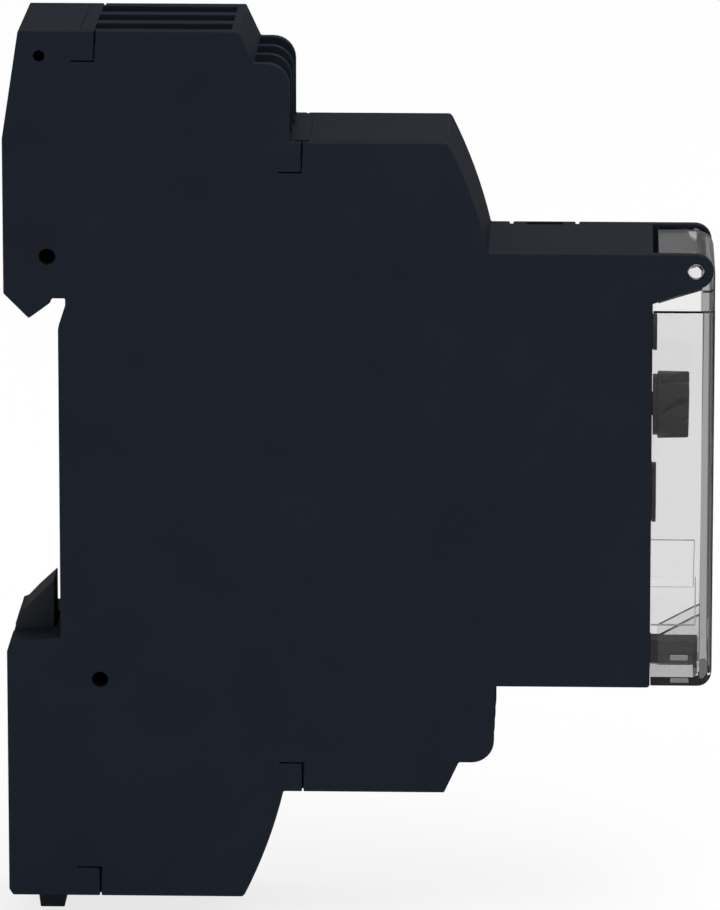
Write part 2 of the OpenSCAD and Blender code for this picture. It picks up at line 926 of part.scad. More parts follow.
module clear_cover() {
    gusset = [
        [nose_d + 0.85, cover_low_z + 0.5], [nose_d + 0.85, cover_low_z + 3.8],
        [cover_in_d + 0.1, cover_low_z + 6.1], [cover_in_d + 0.1, cover_low_z + 0.5]
    ];
    color([0.85, 0.88, 0.9, 0.35])
        difference() {
            union() {
                cover_strip(cover_x, cover_low_z - 1, shoulder_z);
                cover_strip(cheek_x, shoulder_z - 0.1, cover_top_z + 1);
                cover_side(-cover_x, -cover_x + cover_t);
                cover_side(cover_x - cover_t, cover_x);
                cover_cheek(-cheek_x, cover_t - cheek_x);
                cover_cheek(cheek_x - cover_t, cheek_x);
                for (s = [-1, 1]) {
                    slab(s < 0 ? -2.6 : 1.8, s < 0 ? -1.8 : 2.6, gusset);
                    rod_x(ear_r - 0.3, s < 0 ? -cheek_x : cheek_x - 1.2,
                        s < 0 ? -cheek_x + 1.2 : cheek_x, hinge_d, hinge_z);
                    rod_x(pin_r, s < 0 ? -cover_x : cheek_x - 0.1,
                        s < 0 ? -cheek_x + 0.1 : cover_x, hinge_d, hinge_z);
                }
            }
            block(-lug_x - 0.3, lug_x + 0.3, nose_d - 1, cover_in_d,
                cover_low_z - 1, cover_floor_z + 0.7);
            for (s = [-1, 1])
                block(s * cover_x - grip_deep, s * cover_x + grip_deep, nose_d, cover_in_d - 0.5,
                    grip_z - grip_h / 2, grip_z + grip_h / 2);
        }
}

// ---------------------------------------------------------------- rail latch

module rail_latch() {
    tab_z = -top_z - 0.15;
    points = [
        [-rail_t - 0.05, tooth_z], [-rail_t - 0.05, block_top_z - 0.2], [latch_front_d, block_top_z - 0.4],
        [latch_front_d, tab_z], [0.05, tab_z], [-0.2, -top_z - 2.9], [-2.7, -top_z - 2.9],
        [-3.05, tab_z], [latch_back_d, tab_z], [latch_back_d, block_top_z - 1.7],
        [-back_d + 0.2, block_top_z - 1.7], [-back_d + 0.2, block_top_z - 1.2],
        [-4.55, tooth_z - 3.1], [-4.07, tooth_z - 2.96], [-2.87, tooth_z - 1.7]
    ];
    color(shell_c)
        difference() {
            slab(-latch_x, latch_x, points);
            block(-window_x, window_x, latch_back_d - 1, latch_front_d + 1, window_low_z, window_top_z);
            block(-1.5, 1.5, -5, 1, -top_z - 2, -top_z - 1);
        }
}

// A point on the spring's centre line, t turns above its foot
function coil_point(t, turns) =
    let (
        r = (spring_d - spring_wire) / 2,
        axis_d = (latch_front_d + latch_back_d) / 2,
        low = rib_top_z + 0.05 + spring_wire / 2,
        high = window_top_z - 0.05 - spring_wire / 2
    )
    [r * cos(360 * t), r * sin(360 * t) - axis_d, low + (high - low) * t / turns];

// Compression spring, a round wire swept along a helix
module latch_spring() {
    turns = 9;
    steps = 14;
    sides = 8;
    rings = turns * steps;
    points = [
        for (i = [0:rings]) let (c = coil_point(i / steps, turns), a = 360 * i / steps)
            for (k = [0:sides - 1]) let (b = 360 * k / sides, w = spring_wire / 2)
                c + [w * cos(b) * cos(a), w * cos(b) * sin(a), w * sin(b)]
    ];
    skin = [
        for (i = [0:rings - 1], k = [0:sides - 1]) let (n = (k + 1) % sides)
            [i * sides + k, i * sides + n, (i + 1) * sides + n, (i + 1) * sides + k]
    ];
    color(metal_c)
        polyhedron(
            points,
            concat(skin, [[for (k = [sides - 1:-1:0]) k], [for (k = [0:sides - 1]) rings * sides + k]])
        );
}

// ---------------------------------------------------------------- parts

main_case();
side_cover();
front_plate();
top_terminal_cover();
bottom_terminal_cover();
top_blank_cover();
bottom_blank_cover();
on_top_terminals() terminal_carrier();  // top_terminal_carrier
on_bottom_terminals() terminal_carrier();  // bottom_terminal_carrier
on_top_terminals() busbars();  // top_busbars
on_bottom_terminals() busbars();  // bottom_busbars
main_board();
front_board();
board_connector();
relay_base();
relay_cover();
relay_bobbin();
relay_coil();
relay_yoke();
relay_contact();
relay_armature();
film_capacitor();
electrolytic_capacitors();
varistor();
bridge_rectifier();
dropper_resistors();
microcontroller();
time_potentiometer();
function_switch();
range_switch();
indicator_leds();
light_pipes();
clear_cover();
time_knob();
knob_shaft();
function_selector();
range_selector();
rail_latch();
latch_spring();
on_top_terminals() terminal_screw(LEFT);  // top_screw_left
on_top_terminals() terminal_screw(MIDDLE);  // top_screw_middle
on_top_terminals() terminal_screw(RIGHT);  // top_screw_right
on_bottom_terminals() terminal_screw(LEFT);  // bottom_screw_left
on_bottom_terminals() terminal_screw(MIDDLE);  // bottom_screw_middle
on_bottom_terminals() terminal_screw(RIGHT);  // bottom_screw_right
on_top_terminals() cage(LEFT);  // top_cage_left
on_top_terminals() cage(MIDDLE);  // top_cage_middle
on_top_terminals() cage(RIGHT);  // top_cage_right
on_bottom_terminals() cage(LEFT);  // bottom_cage_left
on_bottom_terminals() cage(MIDDLE);  // bottom_cage_middle
on_bottom_terminals() cage(RIGHT);  // bottom_cage_right
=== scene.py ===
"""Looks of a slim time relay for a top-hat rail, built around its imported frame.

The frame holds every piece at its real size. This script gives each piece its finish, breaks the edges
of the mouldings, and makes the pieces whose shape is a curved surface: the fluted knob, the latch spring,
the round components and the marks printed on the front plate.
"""

import json
import logging
import math
from collections.abc import Sequence
from dataclasses import dataclass
from enum import Enum
from typing import Any

import bmesh
import bpy
import numpy as np
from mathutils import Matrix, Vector


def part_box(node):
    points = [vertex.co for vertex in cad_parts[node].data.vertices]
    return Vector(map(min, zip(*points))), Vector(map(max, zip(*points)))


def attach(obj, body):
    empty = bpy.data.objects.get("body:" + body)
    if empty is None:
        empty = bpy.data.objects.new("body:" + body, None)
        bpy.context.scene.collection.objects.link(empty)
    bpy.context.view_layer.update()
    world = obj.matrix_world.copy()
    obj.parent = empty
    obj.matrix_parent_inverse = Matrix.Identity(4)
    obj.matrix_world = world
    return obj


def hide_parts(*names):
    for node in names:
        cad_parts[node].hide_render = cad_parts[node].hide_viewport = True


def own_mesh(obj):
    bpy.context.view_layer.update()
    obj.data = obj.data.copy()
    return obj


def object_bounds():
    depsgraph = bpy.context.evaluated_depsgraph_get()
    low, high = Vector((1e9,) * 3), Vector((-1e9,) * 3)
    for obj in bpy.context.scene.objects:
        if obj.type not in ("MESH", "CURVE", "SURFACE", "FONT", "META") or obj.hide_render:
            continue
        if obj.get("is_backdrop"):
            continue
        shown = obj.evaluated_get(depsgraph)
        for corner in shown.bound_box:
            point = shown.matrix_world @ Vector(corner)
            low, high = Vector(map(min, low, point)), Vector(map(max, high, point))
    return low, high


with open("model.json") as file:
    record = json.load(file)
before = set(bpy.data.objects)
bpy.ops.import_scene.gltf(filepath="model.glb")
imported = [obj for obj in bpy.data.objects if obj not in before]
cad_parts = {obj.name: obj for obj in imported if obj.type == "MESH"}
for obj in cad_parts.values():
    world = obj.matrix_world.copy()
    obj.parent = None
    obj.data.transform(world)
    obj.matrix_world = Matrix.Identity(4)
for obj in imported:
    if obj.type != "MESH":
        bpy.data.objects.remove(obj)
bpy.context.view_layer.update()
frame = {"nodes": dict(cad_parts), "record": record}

LOG = logging.getLogger("time_relay")
MM = 0.001
CLOSE = 0.01 * MM  # places nearer than this count as one
HUB = 0.04 * MM  # radius of the small flat that caps a surface at its axis


# ---------------- frame


RECORD = frame["record"]
NODE_BODY = {node: body for body, nodes in RECORD["behaviour"]["bodies"].items() for node in nodes}


@dataclass(frozen=True)
class Box:
    """The box that a node of the frame fills, in metres.

    Attributes:
        low: Its lowest corner.
        high: Its highest corner.
    """

    low: np.ndarray
    high: np.ndarray

    @staticmethod
    def of(node: str) -> "Box":
        """Returns the box of one node."""
        low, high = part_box(node)
        return Box(np.array(low), np.array(high))

    @property
    def centre(self) -> np.ndarray:
        """The middle of the box."""
        return (self.low + self.high) / 2

    @property
    def size(self) -> np.ndarray:
        """The three edge lengths of the box."""
        return self.high - self.low


def tuned(thing: Any, **settings: Any) -> Any:
    """Sets properties of one of Blender's things.

    Args:
        thing: A lamp, a modifier or the like.
        **settings: The new value of each property.

    Returns:
        The thing.
    """
    for key, value in settings.items():
        setattr(thing, key, value)
    return thing


def joint_named(name: str) -> dict:
    """Finds a joint in the frame.

    Args:
        name: The joint's name.

    Returns:
        The joint's entry in the record.
    """
    return next(joint for joint in RECORD["behaviour"]["joints"] if joint["name"] == name)


# ---------------- materials


Piece = bpy.types.Object
Tree = bpy.types.NodeTree
Socket = bpy.types.NodeSocket
Settings = dict[str | int, Any]
Links = dict[str | int, bpy.types.NodeSocket]


def linear(hex_colour: str) -> tuple[float, float, float, float]:
    """Turns an sRGB hex colour into the linear colour that a shader takes.

    Args:
        hex_colour: Six hex digits after a hash sign.

    Returns:
        Linear red, green and blue, with an alpha of 1.
    """
    parts = np.array([int(hex_colour[i : i + 2], 16) for i in (1, 3, 5)]) / 255
    curve = np.where(parts <= 0.04045, parts / 12.92, ((parts + 0.055) / 1.055) ** 2.4)
    return (*curve.tolist(), 1.0)


def add_node(
    tree: Tree, kind: str, settings: Settings | None = None, links: Links | None = None
) -> bpy.types.Node:
    """Adds one node to a tree, with its settings and its incoming links.

    Args:
        tree: The node tree.
        kind: The node's type.
        settings: Values of inputs, by name or number, or of the node's own properties.
        links: The socket that feeds each input, by name or number.

    Returns:
        The new node.
    """
    node = tree.nodes.new(kind)
    for key, value in (settings or {}).items():
        if isinstance(key, int) or key in node.inputs:
            node.inputs[key].default_value = value
        else:
            setattr(node, key, value)
    for key, socket in (links or {}).items():
        tree.links.new(socket, node.inputs[key])
    return node


def empty_tree(owner: bpy.types.Material | bpy.types.World) -> Tree:
    """Returns the owner's node tree, emptied. Args: owner: a material or a world."""
    owner.use_nodes = True
    owner.node_tree.nodes.clear()
    return owner.node_tree


def object_place(tree: Tree) -> Socket:
    """Returns the place on the piece, which moves with it. Args: tree: the node tree."""
    return add_node(tree, "ShaderNodeTexCoord").outputs["Object"]


def noise(tree: Tree, place: Socket, size_mm: float, detail: float) -> Socket:
    """Adds a soft random pattern.

    Args:
        tree: The node tree.
        place: Where the pattern is read.
        size_mm: The width of one spot of it.
        detail: How many finer layers it has.

    Returns:
        The pattern's value, from 0 to 1.
    """
    settings = {"Scale": 1 / (size_mm * MM), "Detail": detail, "Roughness": 0.55}
    return add_node(tree, "ShaderNodeTexNoise", settings, {"Vector": place}).outputs["Fac"]


def ramp(tree: Tree, value: Socket, start: float, end: float, low: float, high: float) -> Socket:
    """Maps one range of a value to another in a straight line, and holds it beyond the ends.

    Args:
        tree: The node tree.
        value: The value.
        start: Where the ramp starts.
        end: Where it ends.
        low: What the start becomes.
        high: What the end becomes.

    Returns:
        The mapped value.
    """
    settings = {"From Min": start, "From Max": end, "To Min": low, "To Max": high}
    return add_node(tree, "ShaderNodeMapRange", settings, {"Value": value}).outputs["Result"]


def spread(tree: Tree, pattern: Socket, low: float = 0.0, high: float = 1.0) -> Socket:
    """Stretches the middle of a 0 to 1 pattern over a range.

    Args:
        tree: The node tree.
        pattern: The pattern.
        low: What a dark spot becomes.
        high: What a bright spot becomes.

    Returns:
        The stretched value.
    """
    return ramp(tree, pattern, 0.3, 0.7, low, high)


def blend_colours(tree: Tree, factor: Socket, first: str, second: str) -> Socket:
    """Mixes two colours by a pattern.

    Args:
        tree: The node tree.
        factor: The share of the second colour.
        first: The first colour as hex.
        second: The second colour as hex.

    Returns:
        The mixed colour.
    """
    settings = {"data_type": "RGBA", 6: linear(first), 7: linear(second)}
    return add_node(tree, "ShaderNodeMix", settings, {0: factor}).outputs[2]


def relief(tree: Tree, height: Socket, strength: float, deep_mm: float) -> Socket:
    """Makes a fine relief out of a pattern.

    Args:
        tree: The node tree.
        height: The pattern.
        strength: The share of the relief that shows.
        deep_mm: Its depth.

    Returns:
        The direction that the surface faces.
    """
    settings = {"Strength": strength, "Distance": deep_mm * MM}
    return add_node(tree, "ShaderNodeBump", settings, {"Height": height}).outputs["Normal"]


def light_path(tree: Tree, fact: str) -> Socket:
    """Returns one fact about the ray. Args: tree: the node tree; fact: Blender's name for it."""
    return add_node(tree, "ShaderNodeLightPath").outputs[fact]


def coated(tree: Tree, settings: Settings, links: Links) -> Socket:
    """Adds the main shader. Args: as add_node takes them. Returns: the shader."""
    return add_node(tree, "ShaderNodeBsdfPrincipled", settings, links).outputs["BSDF"]


@dataclass(frozen=True)
class Finish:
    """What the surface of a piece is made of.

    Attributes:
        name: The material's name.
    """

    name: str

    def material(self) -> bpy.types.Material:
        """Returns the finish's material, made once."""
        made = bpy.data.materials.get(self.name)
        if made is None:
            made = bpy.data.materials.new(self.name)
            tree = empty_tree(made)
            links = {"Surface": self.surface(tree)} | self.inside(tree)
            add_node(tree, "ShaderNodeOutputMaterial", links=links)
        return made

    def inside(self, tree: Tree) -> Links:
        """Returns the link to what fills the piece, or none for a solid colour."""
        return {}

    def surface(self, tree: Tree) -> Socket:
        """Builds the finish's nodes.

        Args:
            tree: An empty material tree.

        Returns:
            The shader that covers the piece.
        """
        raise NotImplementedError


@dataclass(frozen=True)
class MouldedPlastic(Finish):
    """Injection-moulded plastic with the fine spark-eroded grain of its mould.

    The grain scatters highlights, so faces look even and only broken edges catch a line of light.

    Attributes:
        colour: Colour of the plastic.
        flow: Slightly different colour of its flow marks.
        roughness: Mean roughness.
        gloss: Specular level, low on grained faces.
        grain_mm: Width of one grain, drawn coarser than the real 0.05 mm so that it shows.
        grain_deep_mm: Depth of the grain.
        flow_mm: Width of a flow mark.
        swing: How far the roughness goes up and down with the grain.
    """

    colour: str
    flow: str
    roughness: float = 0.6
    gloss: float = 0.1
    grain_mm: float = 0.22
    grain_deep_mm: float = 0.006
    flow_mm: float = 9.0
    swing: float = 0.05

    def surface(self, tree: Tree) -> Socket:
        """Builds the grained plastic. Args: tree: the tree. Returns: the shader."""
        where = object_place(tree)
        grain = noise(tree, where, self.grain_mm, 3)
        flow = spread(tree, noise(tree, where, self.flow_mm, 2))
        links = {
            "Base Color": blend_colours(tree, flow, self.colour, self.flow),
            "Roughness": spread(tree, grain, self.roughness - self.swing, self.roughness + self.swing),
            "Normal": relief(tree, grain, 0.6, self.grain_deep_mm),
        }
        return coated(tree, {"Specular IOR Level": self.gloss, "IOR": 1.5}, links)


@dataclass(frozen=True)
class ClearPlastic(Finish):
    """Clear plastic from a polished mould: it bends light, and its edges gather grey.

    Attributes:
        tint: Colour of light that has passed the wall.
        shade: Light that a lamp sends through it, so that what is behind stays lit.
        wave_mm: Width of the faint waves that the mould leaves.
        ior: Its index of refraction.
        smoke_mm: Length of plastic that takes two thirds of the light, or 0 for none.
    """

    tint: str
    shade: str = "#e4e6e6"
    wave_mm: float = 5.0
    ior: float = 1.585
    smoke_mm: float = 0.0

    def surface(self, tree: Tree) -> Socket:
        """Builds the clear plastic. Args: tree: the tree. Returns: the shader."""
        waves = relief(tree, noise(tree, object_place(tree), self.wave_mm, 1), 0.15, 0.01)
        settings = {
            "Base Color": linear(self.tint),
            "Roughness": 0.015,
            "IOR": self.ior,
            "Transmission Weight": 1.0,
        }
        clear = coated(tree, settings, {"Normal": waves})
        passing = add_node(tree, "ShaderNodeBsdfTransparent", {"Color": linear(self.shade)}).outputs[0]
        links = {0: light_path(tree, "Is Shadow Ray"), 1: clear, 2: passing}
        return add_node(tree, "ShaderNodeMixShader", links=links).outputs[0]

    def inside(self, tree: Tree) -> Links:
        """Builds the grey that the plastic gathers over a long way.

        Args:
            tree: The material tree.

        Returns:
            The link to the absorbing volume, or none.
        """
        if not self.smoke_mm:
            return {}
        settings = {"Color": linear("#000000"), "Density": 1 / (self.smoke_mm * MM)}
        return {"Volume": add_node(tree, "ShaderNodeVolumeAbsorption", settings).outputs[0]}


@dataclass(frozen=True)
class PlatedMetal(Finish):
    """Zinc, nickel or tin plating on a stamped or turned metal part.

    Its rolling lines draw highlights out into streaks, and duller patches keep it from looking new.

    Attributes:
        colour: Colour of the plating.
        stain: Colour of its duller patches.
        roughness: Mean roughness.
        line_mm: Spacing of the rolling or turning lines, drawn coarse enough to show.
        patch_mm: Width of a duller patch.
    """

    colour: str
    stain: str
    roughness: float = 0.32
    line_mm: float = 0.12
    patch_mm: float = 1.2

    def surface(self, tree: Tree) -> Socket:
        """Builds the plating. Args: tree: the tree. Returns: the shader."""
        where = object_place(tree)
        lengthwise = {"Scale": (1.0, 0.08, 1.0)}
        drawn = add_node(tree, "ShaderNodeMapping", lengthwise, {"Vector": where}).outputs[0]
        streak = noise(tree, drawn, self.line_mm, 2)
        patch = spread(tree, noise(tree, where, self.patch_mm, 3))
        links = {
            "Base Color": blend_colours(tree, patch, self.colour, self.stain),
            "Roughness": spread(tree, streak, self.roughness - 0.07, self.roughness + 0.1),
            "Normal": relief(tree, streak, 0.3, 0.003),
        }
        return coated(tree, {"Metallic": 1.0}, links)


@dataclass(frozen=True)
class EnamelledWinding(Finish):
    """Enamelled copper wire laid turn beside turn, with a satin varnish over it.

    Shade is painted between the turns as a darker colour than the crowns, which makes the plain coil look
    wound.

    Attributes:
        colour: Colour of the wire's crown.
        groove: Painted shade between two turns, a darker colour than the wire.
        turn_mm: Spacing of the turns.
    """

    colour: str
    groove: str
    turn_mm: float = 0.3

    def surface(self, tree: Tree) -> Socket:
        """Builds the winding. Args: tree: the tree. Returns: the shader."""
        bands = {
            "bands_direction": "Y",
            "Scale": math.pi / 10 / (self.turn_mm * MM),
            "Distortion": 0.4,
        }
        turns = add_node(tree, "ShaderNodeTexWave", bands, {"Vector": object_place(tree)}).outputs["Fac"]
        links = {
            # painted shade: the wave bands darken the wire's colour between the turns
            "Base Color": blend_colours(tree, turns, self.groove, self.colour),
            "Normal": relief(tree, turns, 0.5, 0.03),
        }
        return coated(tree, {"Metallic": 0.8, "Roughness": 0.35}, links)


@dataclass(frozen=True)
class SolderMaskedLaminate(Finish):
    """Glass-epoxy board under solder mask, with the tracks showing as paler lines.

    Attributes:
        mask: Colour of the mask on bare laminate.
        track: Colour of the mask over copper.
        track_mm: Spacing of the tracks.
    """

    mask: str
    track: str
    track_mm: float = 1.3

    def surface(self, tree: Tree) -> Socket:
        """Builds the laminate. Args: tree: the tree. Returns: the shader."""
        network = {
            "feature": "DISTANCE_TO_EDGE",
            "Scale": 1 / (self.track_mm * 2 * MM),
            "Randomness": 0.35,
        }
        links = {"Vector": object_place(tree)}
        off_line = add_node(tree, "ShaderNodeTexVoronoi", network, links).outputs["Distance"]
        line = ramp(tree, off_line, 0.1, 0.16, 1.0, 0.0)
        links = {
            "Base Color": blend_colours(tree, line, self.mask, self.track),
            "Normal": relief(tree, line, 0.4, 0.03),
        }
        return coated(tree, {"Roughness": 0.3, "Specular IOR Level": 0.4}, links)


@dataclass(frozen=True)
class DippedCoat(Finish):
    """Glossy lacquer, epoxy or sleeve over a component, a little uneven as it ran when wet.

    Attributes:
        colour: Colour of the coat.
        thin: Colour where it is thinner.
        roughness: Its roughness.
        run_mm: Width of one uneven spot.
    """

    colour: str
    thin: str
    roughness: float = 0.25
    run_mm: float = 1.6

    def surface(self, tree: Tree) -> Socket:
        """Builds the coat. Args: tree: the tree. Returns: the shader."""
        runs = noise(tree, object_place(tree), self.run_mm, 2)
        links = {
            "Base Color": blend_colours(tree, spread(tree, runs), self.colour, self.thin),
            "Normal": relief(tree, runs, 0.3, 0.05),
        }
        return coated(tree, {"Roughness": self.roughness, "Specular IOR Level": 0.4}, links)


@dataclass(frozen=True)
class PadPrint(Finish):
    """Matt printing ink, slightly starved in places as a pad leaves it.

    Attributes:
        colour: Colour of the ink.
        starved: Colour where it is thin.
        spot_mm: Width of a starved spot.
    """

    colour: str
    starved: str
    spot_mm: float = 0.3

    def surface(self, tree: Tree) -> Socket:
        """Builds the ink. Args: tree: the tree. Returns: the shader."""
        thin = spread(tree, noise(tree, object_place(tree), self.spot_mm, 3), 0, 0.6)
        links = {"Base Color": blend_colours(tree, thin, self.colour, self.starved)}
        return coated(tree, {"Roughness": 0.7, "Specular IOR Level": 0.2}, links)


class Finishes(Enum):
    """The finishes of the relay, each named for its real material."""

    HOUSING = MouldedPlastic("grained_polycarbonate_blue_grey", "#191e27", "#1b2029", 0.5, 0.03)
    FRONT = MouldedPlastic("smooth_polycarbonate_blue_grey", "#1b1f28", "#1d222b", 0.5, 0.05, 0.4, 0.002)
    LATCH = MouldedPlastic("moulded_polyamide_dark_grey", "#23262c", "#272a30", 0.5, 0.06, 0.3, 0.004)
    KNOB = MouldedPlastic("moulded_polyamide_charcoal", "#202021", "#1b1b1c", 0.34, 0.5, 0.3, 0.002)
    SELECTOR = MouldedPlastic("moulded_polyamide_black", "#151416", "#19181a", 0.42, 0.3, 0.3, 0.002)
    CARRIER = MouldedPlastic("glass_filled_polyamide_grey", "#1c1d1f", "#222326", 0.6, 0.15)
    COMPOUND = MouldedPlastic("black_moulding_compound", "#121214", "#18181a", 0.5, 0.3, 0.15)
    NYLON = MouldedPlastic("moulded_natural_polyamide", "#ded9c9", "#d2ccba", 0.45, 0.4, 0.3, 0.003)
    RELAY_CASE = MouldedPlastic("moulded_polyester_blue", "#274b8c", "#2c5194", 0.3, 0.4, 0.4, 0.002)
    POTENTIOMETER = MouldedPlastic("moulded_polyester_deep_blue", "#233c7a", "#284282", 0.4, 0.4)
    CLEAR = ClearPlastic("polished_clear_polycarbonate", "#f9f9f9", smoke_mm=18.0)
    LIGHT_PIPE = ClearPlastic("polished_clear_acrylic", "#eef4ee", ior=1.49)
    ZINC = PlatedMetal("zinc_plated_steel", "#b6b7b4", "#a4a6a6")
    TINNED = PlatedMetal("tin_plated_brass", "#c9c1a6", "#b7ad8c", 0.28)
    IRON = PlatedMetal("nickel_plated_iron", "#a9a8a2", "#9b9a96", 0.38)
    CONTACT = PlatedMetal("stamped_contact_brass", "#c7a25c", "#b18c4a", 0.3)
    SPRING = PlatedMetal("drawn_spring_steel", "#a5a6a6", "#8f9193", 0.3)
    # the winding's second colour is painted shade between its turns
    COPPER = EnamelledWinding("enamelled_copper_wire", "#b4602c", "#5c2a12")
    LAMINATE = SolderMaskedLaminate("solder_masked_laminate", "#0f4a2b", "#1c6a40")
    FILM_BOX = DippedCoat("moulded_film_capacitor_box", "#c9a52a", "#d0ae3a", 0.35)
    SLEEVE = DippedCoat("shrink_sleeve_navy", "#1c2444", "#232c50", 0.3)
    VARISTOR = DippedCoat("dipped_epoxy_blue", "#1f4690", "#2a55a2")
    RESISTOR = DippedCoat("resistor_lacquer_pale_blue", "#7da3b0", "#8bb0bb")
    LAMP = DippedCoat("tinted_lamp_epoxy", "#7fc26a", "#93d07d", 0.15)
    INK = PadPrint("pad_print_pale_grey", "#b9bdc4", "#8f949c")


# ---------------- surfaces


def placed(name: str, data: bpy.types.ID | None) -> Piece:
    """Puts new data in the scene, at the origin.

    Args:
        name: The object's name.
        data: Its mesh, curve, lamp or camera.

    Returns:
        The object.
    """
    piece = bpy.data.objects.new(name, data)
    bpy.context.scene.collection.objects.link(piece)
    return piece


def points_of(mesh: bpy.types.Mesh) -> np.ndarray:
    """Returns a mesh's points, one a row. Args: mesh: the mesh."""
    points = np.empty(len(mesh.vertices) * 3)
    mesh.vertices.foreach_get("co", points)
    return points.reshape(-1, 3)


def quarter_turn(steps: int) -> tuple[np.ndarray, np.ndarray]:
    """Returns the cosines and sines of angles from 0 to a quarter turn. Args: steps: how many."""
    turn = np.linspace(0, math.pi / 2, steps)
    return np.cos(turn), np.sin(turn)


def grid_faces(rows: int, columns: int, first: int) -> np.ndarray:
    """Lists the quads of a grid whose columns close on themselves.

    Quad (i, j) joins point (i, j) to its neighbours in the next row and the next column, where the column
    after the last one is the first.

    Args:
        rows: Number of rows.
        columns: Number of columns.
        first: Number of the grid's first point.

    Returns:
        One row of four point numbers for each quad.
    """
    row, column = np.meshgrid(np.arange(rows - 1), np.arange(columns), indexing="ij")
    after = (column + 1) % columns
    corners = [row * columns + column, row * columns + after, (row + 1) * columns + after]
    corners.append((row + 1) * columns + column)
    return np.stack(corners, axis=-1).reshape(-1, 4) + first


def surface_piece(name: str, grids: Sequence[np.ndarray], smooth_angle: float = 35.0) -> Piece:
    """Makes one piece of closed surfaces, each a grid of points whose ends are capped.

    Args:
        name: The piece's name.
        grids: For each surface, points as rows by columns by three; columns run round the surface.
        smooth_angle: Edges sharper than this many degrees stay crisp.

    Returns:
        The piece, at the origin.
    """
    points, faces, first = [], [], 0
    for grid in grids:
        rows, columns, _ = grid.shape
        points.append(grid.reshape(-1, 3))
        faces.extend(grid_faces(rows, columns, first).tolist())
        faces.append(list(range(first + columns - 1, first - 1, -1)))
        faces.append(list(range(first + (rows - 1) * columns, first + rows * columns)))
        first += rows * columns
    mesh = bpy.data.meshes.new(name)
    mesh.from_pydata(np.concatenate(points).tolist(), [], faces)
    shell = bmesh.new()
    shell.from_mesh(mesh)
    bmesh.ops.recalc_face_normals(shell, faces=shell.faces)
    shell.to_mesh(mesh)
    shell.free()
    mesh.shade_smooth()
    mesh.set_sharp_from_angle(angle=math.radians(smooth_angle))
    return placed(name, mesh)


class Axis(Enum):
    """The directions that a turned part can lie along, as (along, across, up) unit rows."""

    X = ((1, 0, 0), (0, 1, 0), (0, 0, 1))
    FRONT = ((0, -1, 0), (1, 0, 0), (0, 0, 1))
    Z = ((0, 0, 1), (1, 0, 0), (0, 1, 0))


def turned(profile: np.ndarray, centre: np.ndarray, axis: Axis, sides: int = 40) -> np.ndarray:
    """Works out the surface of a turned part.

    The point at profile step s and angle a is the centre, plus the profile's length along the axis, plus
    the profile's radius times the unit vector at angle a across the axis.

    Args:
        profile: Steps of (radius, length along the axis), in metres.
        centre: Where lengths are measured from.
        axis: The direction that the part lies along.
        sides: Points round the part.

    Returns:
        The grid of points.
    """
    along, across, up = (np.array(row, float) for row in axis.value)
    steps = np.asarray(profile, float)
    angle = np.linspace(0, 2 * math.pi, sides, endpoint=False)
    ring = np.cos(angle)[:, None] * across + np.sin(angle)[:, None] * up
    return centre + steps[:, None, 1:2] * along + steps[:, None, 0:1] * ring[None]


def swept_tube(path: np.ndarray, radius: float, sides: int) -> np.ndarray:
    """Works out a round wire along a path that winds about the vertical.

    The point at path step s and angle a is the path's point, plus the radius times the unit vector at
    angle a in the plane across the path. The plane's first direction is level, the second is square to it.

    Args:
        path: The wire's centre line, one point a row.
        radius: The wire's radius.
        sides: Points round the wire.

    Returns:
        The grid of points.
    """
    tangent = np.gradient(path, axis=0)
    tangent /= np.linalg.norm(tangent, axis=1, keepdims=True)
    level = np.cross(np.array([0.0, 0.0, 1.0]), tangent)
    level /= np.linalg.norm(level, axis=1, keepdims=True)
    square = np.cross(tangent, level)
    angle = np.linspace(0, 2 * math.pi, sides, endpoint=False)
    ring = np.cos(angle)[None, :, None] * level[:, None] + np.sin(angle)[None, :, None] * square[:, None]
    return path[:, None] + radius * ring


# ---------------- pieces


def clothe(mesh: bpy.types.Mesh, finish: Finishes) -> None:
    """Gives a mesh one finish. Args: mesh: the mesh; finish: its finish."""
    mesh.materials.clear()
    mesh.materials.append(finish.value.material())


def stand_for(piece: Piece, node: str, finish: Finishes) -> None:
    """Dresses a piece and puts it in a node's place.

    Args:
        piece: The new piece.
        node: The node that it stands for.
        finish: Its finish.
    """
    clothe(piece.data, finish)
    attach(piece, NODE_BODY[node])
    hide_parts(node)
    LOG.info("%s stands for %s in %s", piece.name, node, finish.value.name)


def dress_node(node: str, finish: Finishes) -> None:
    """Gives a node of the frame its finish.

    Args:
        node: The node's name.
        finish: Its finish.
    """
    clothe(frame["nodes"][node].data, finish)
    LOG.info("%s keeps its shape in %s", node, finish.value.name)


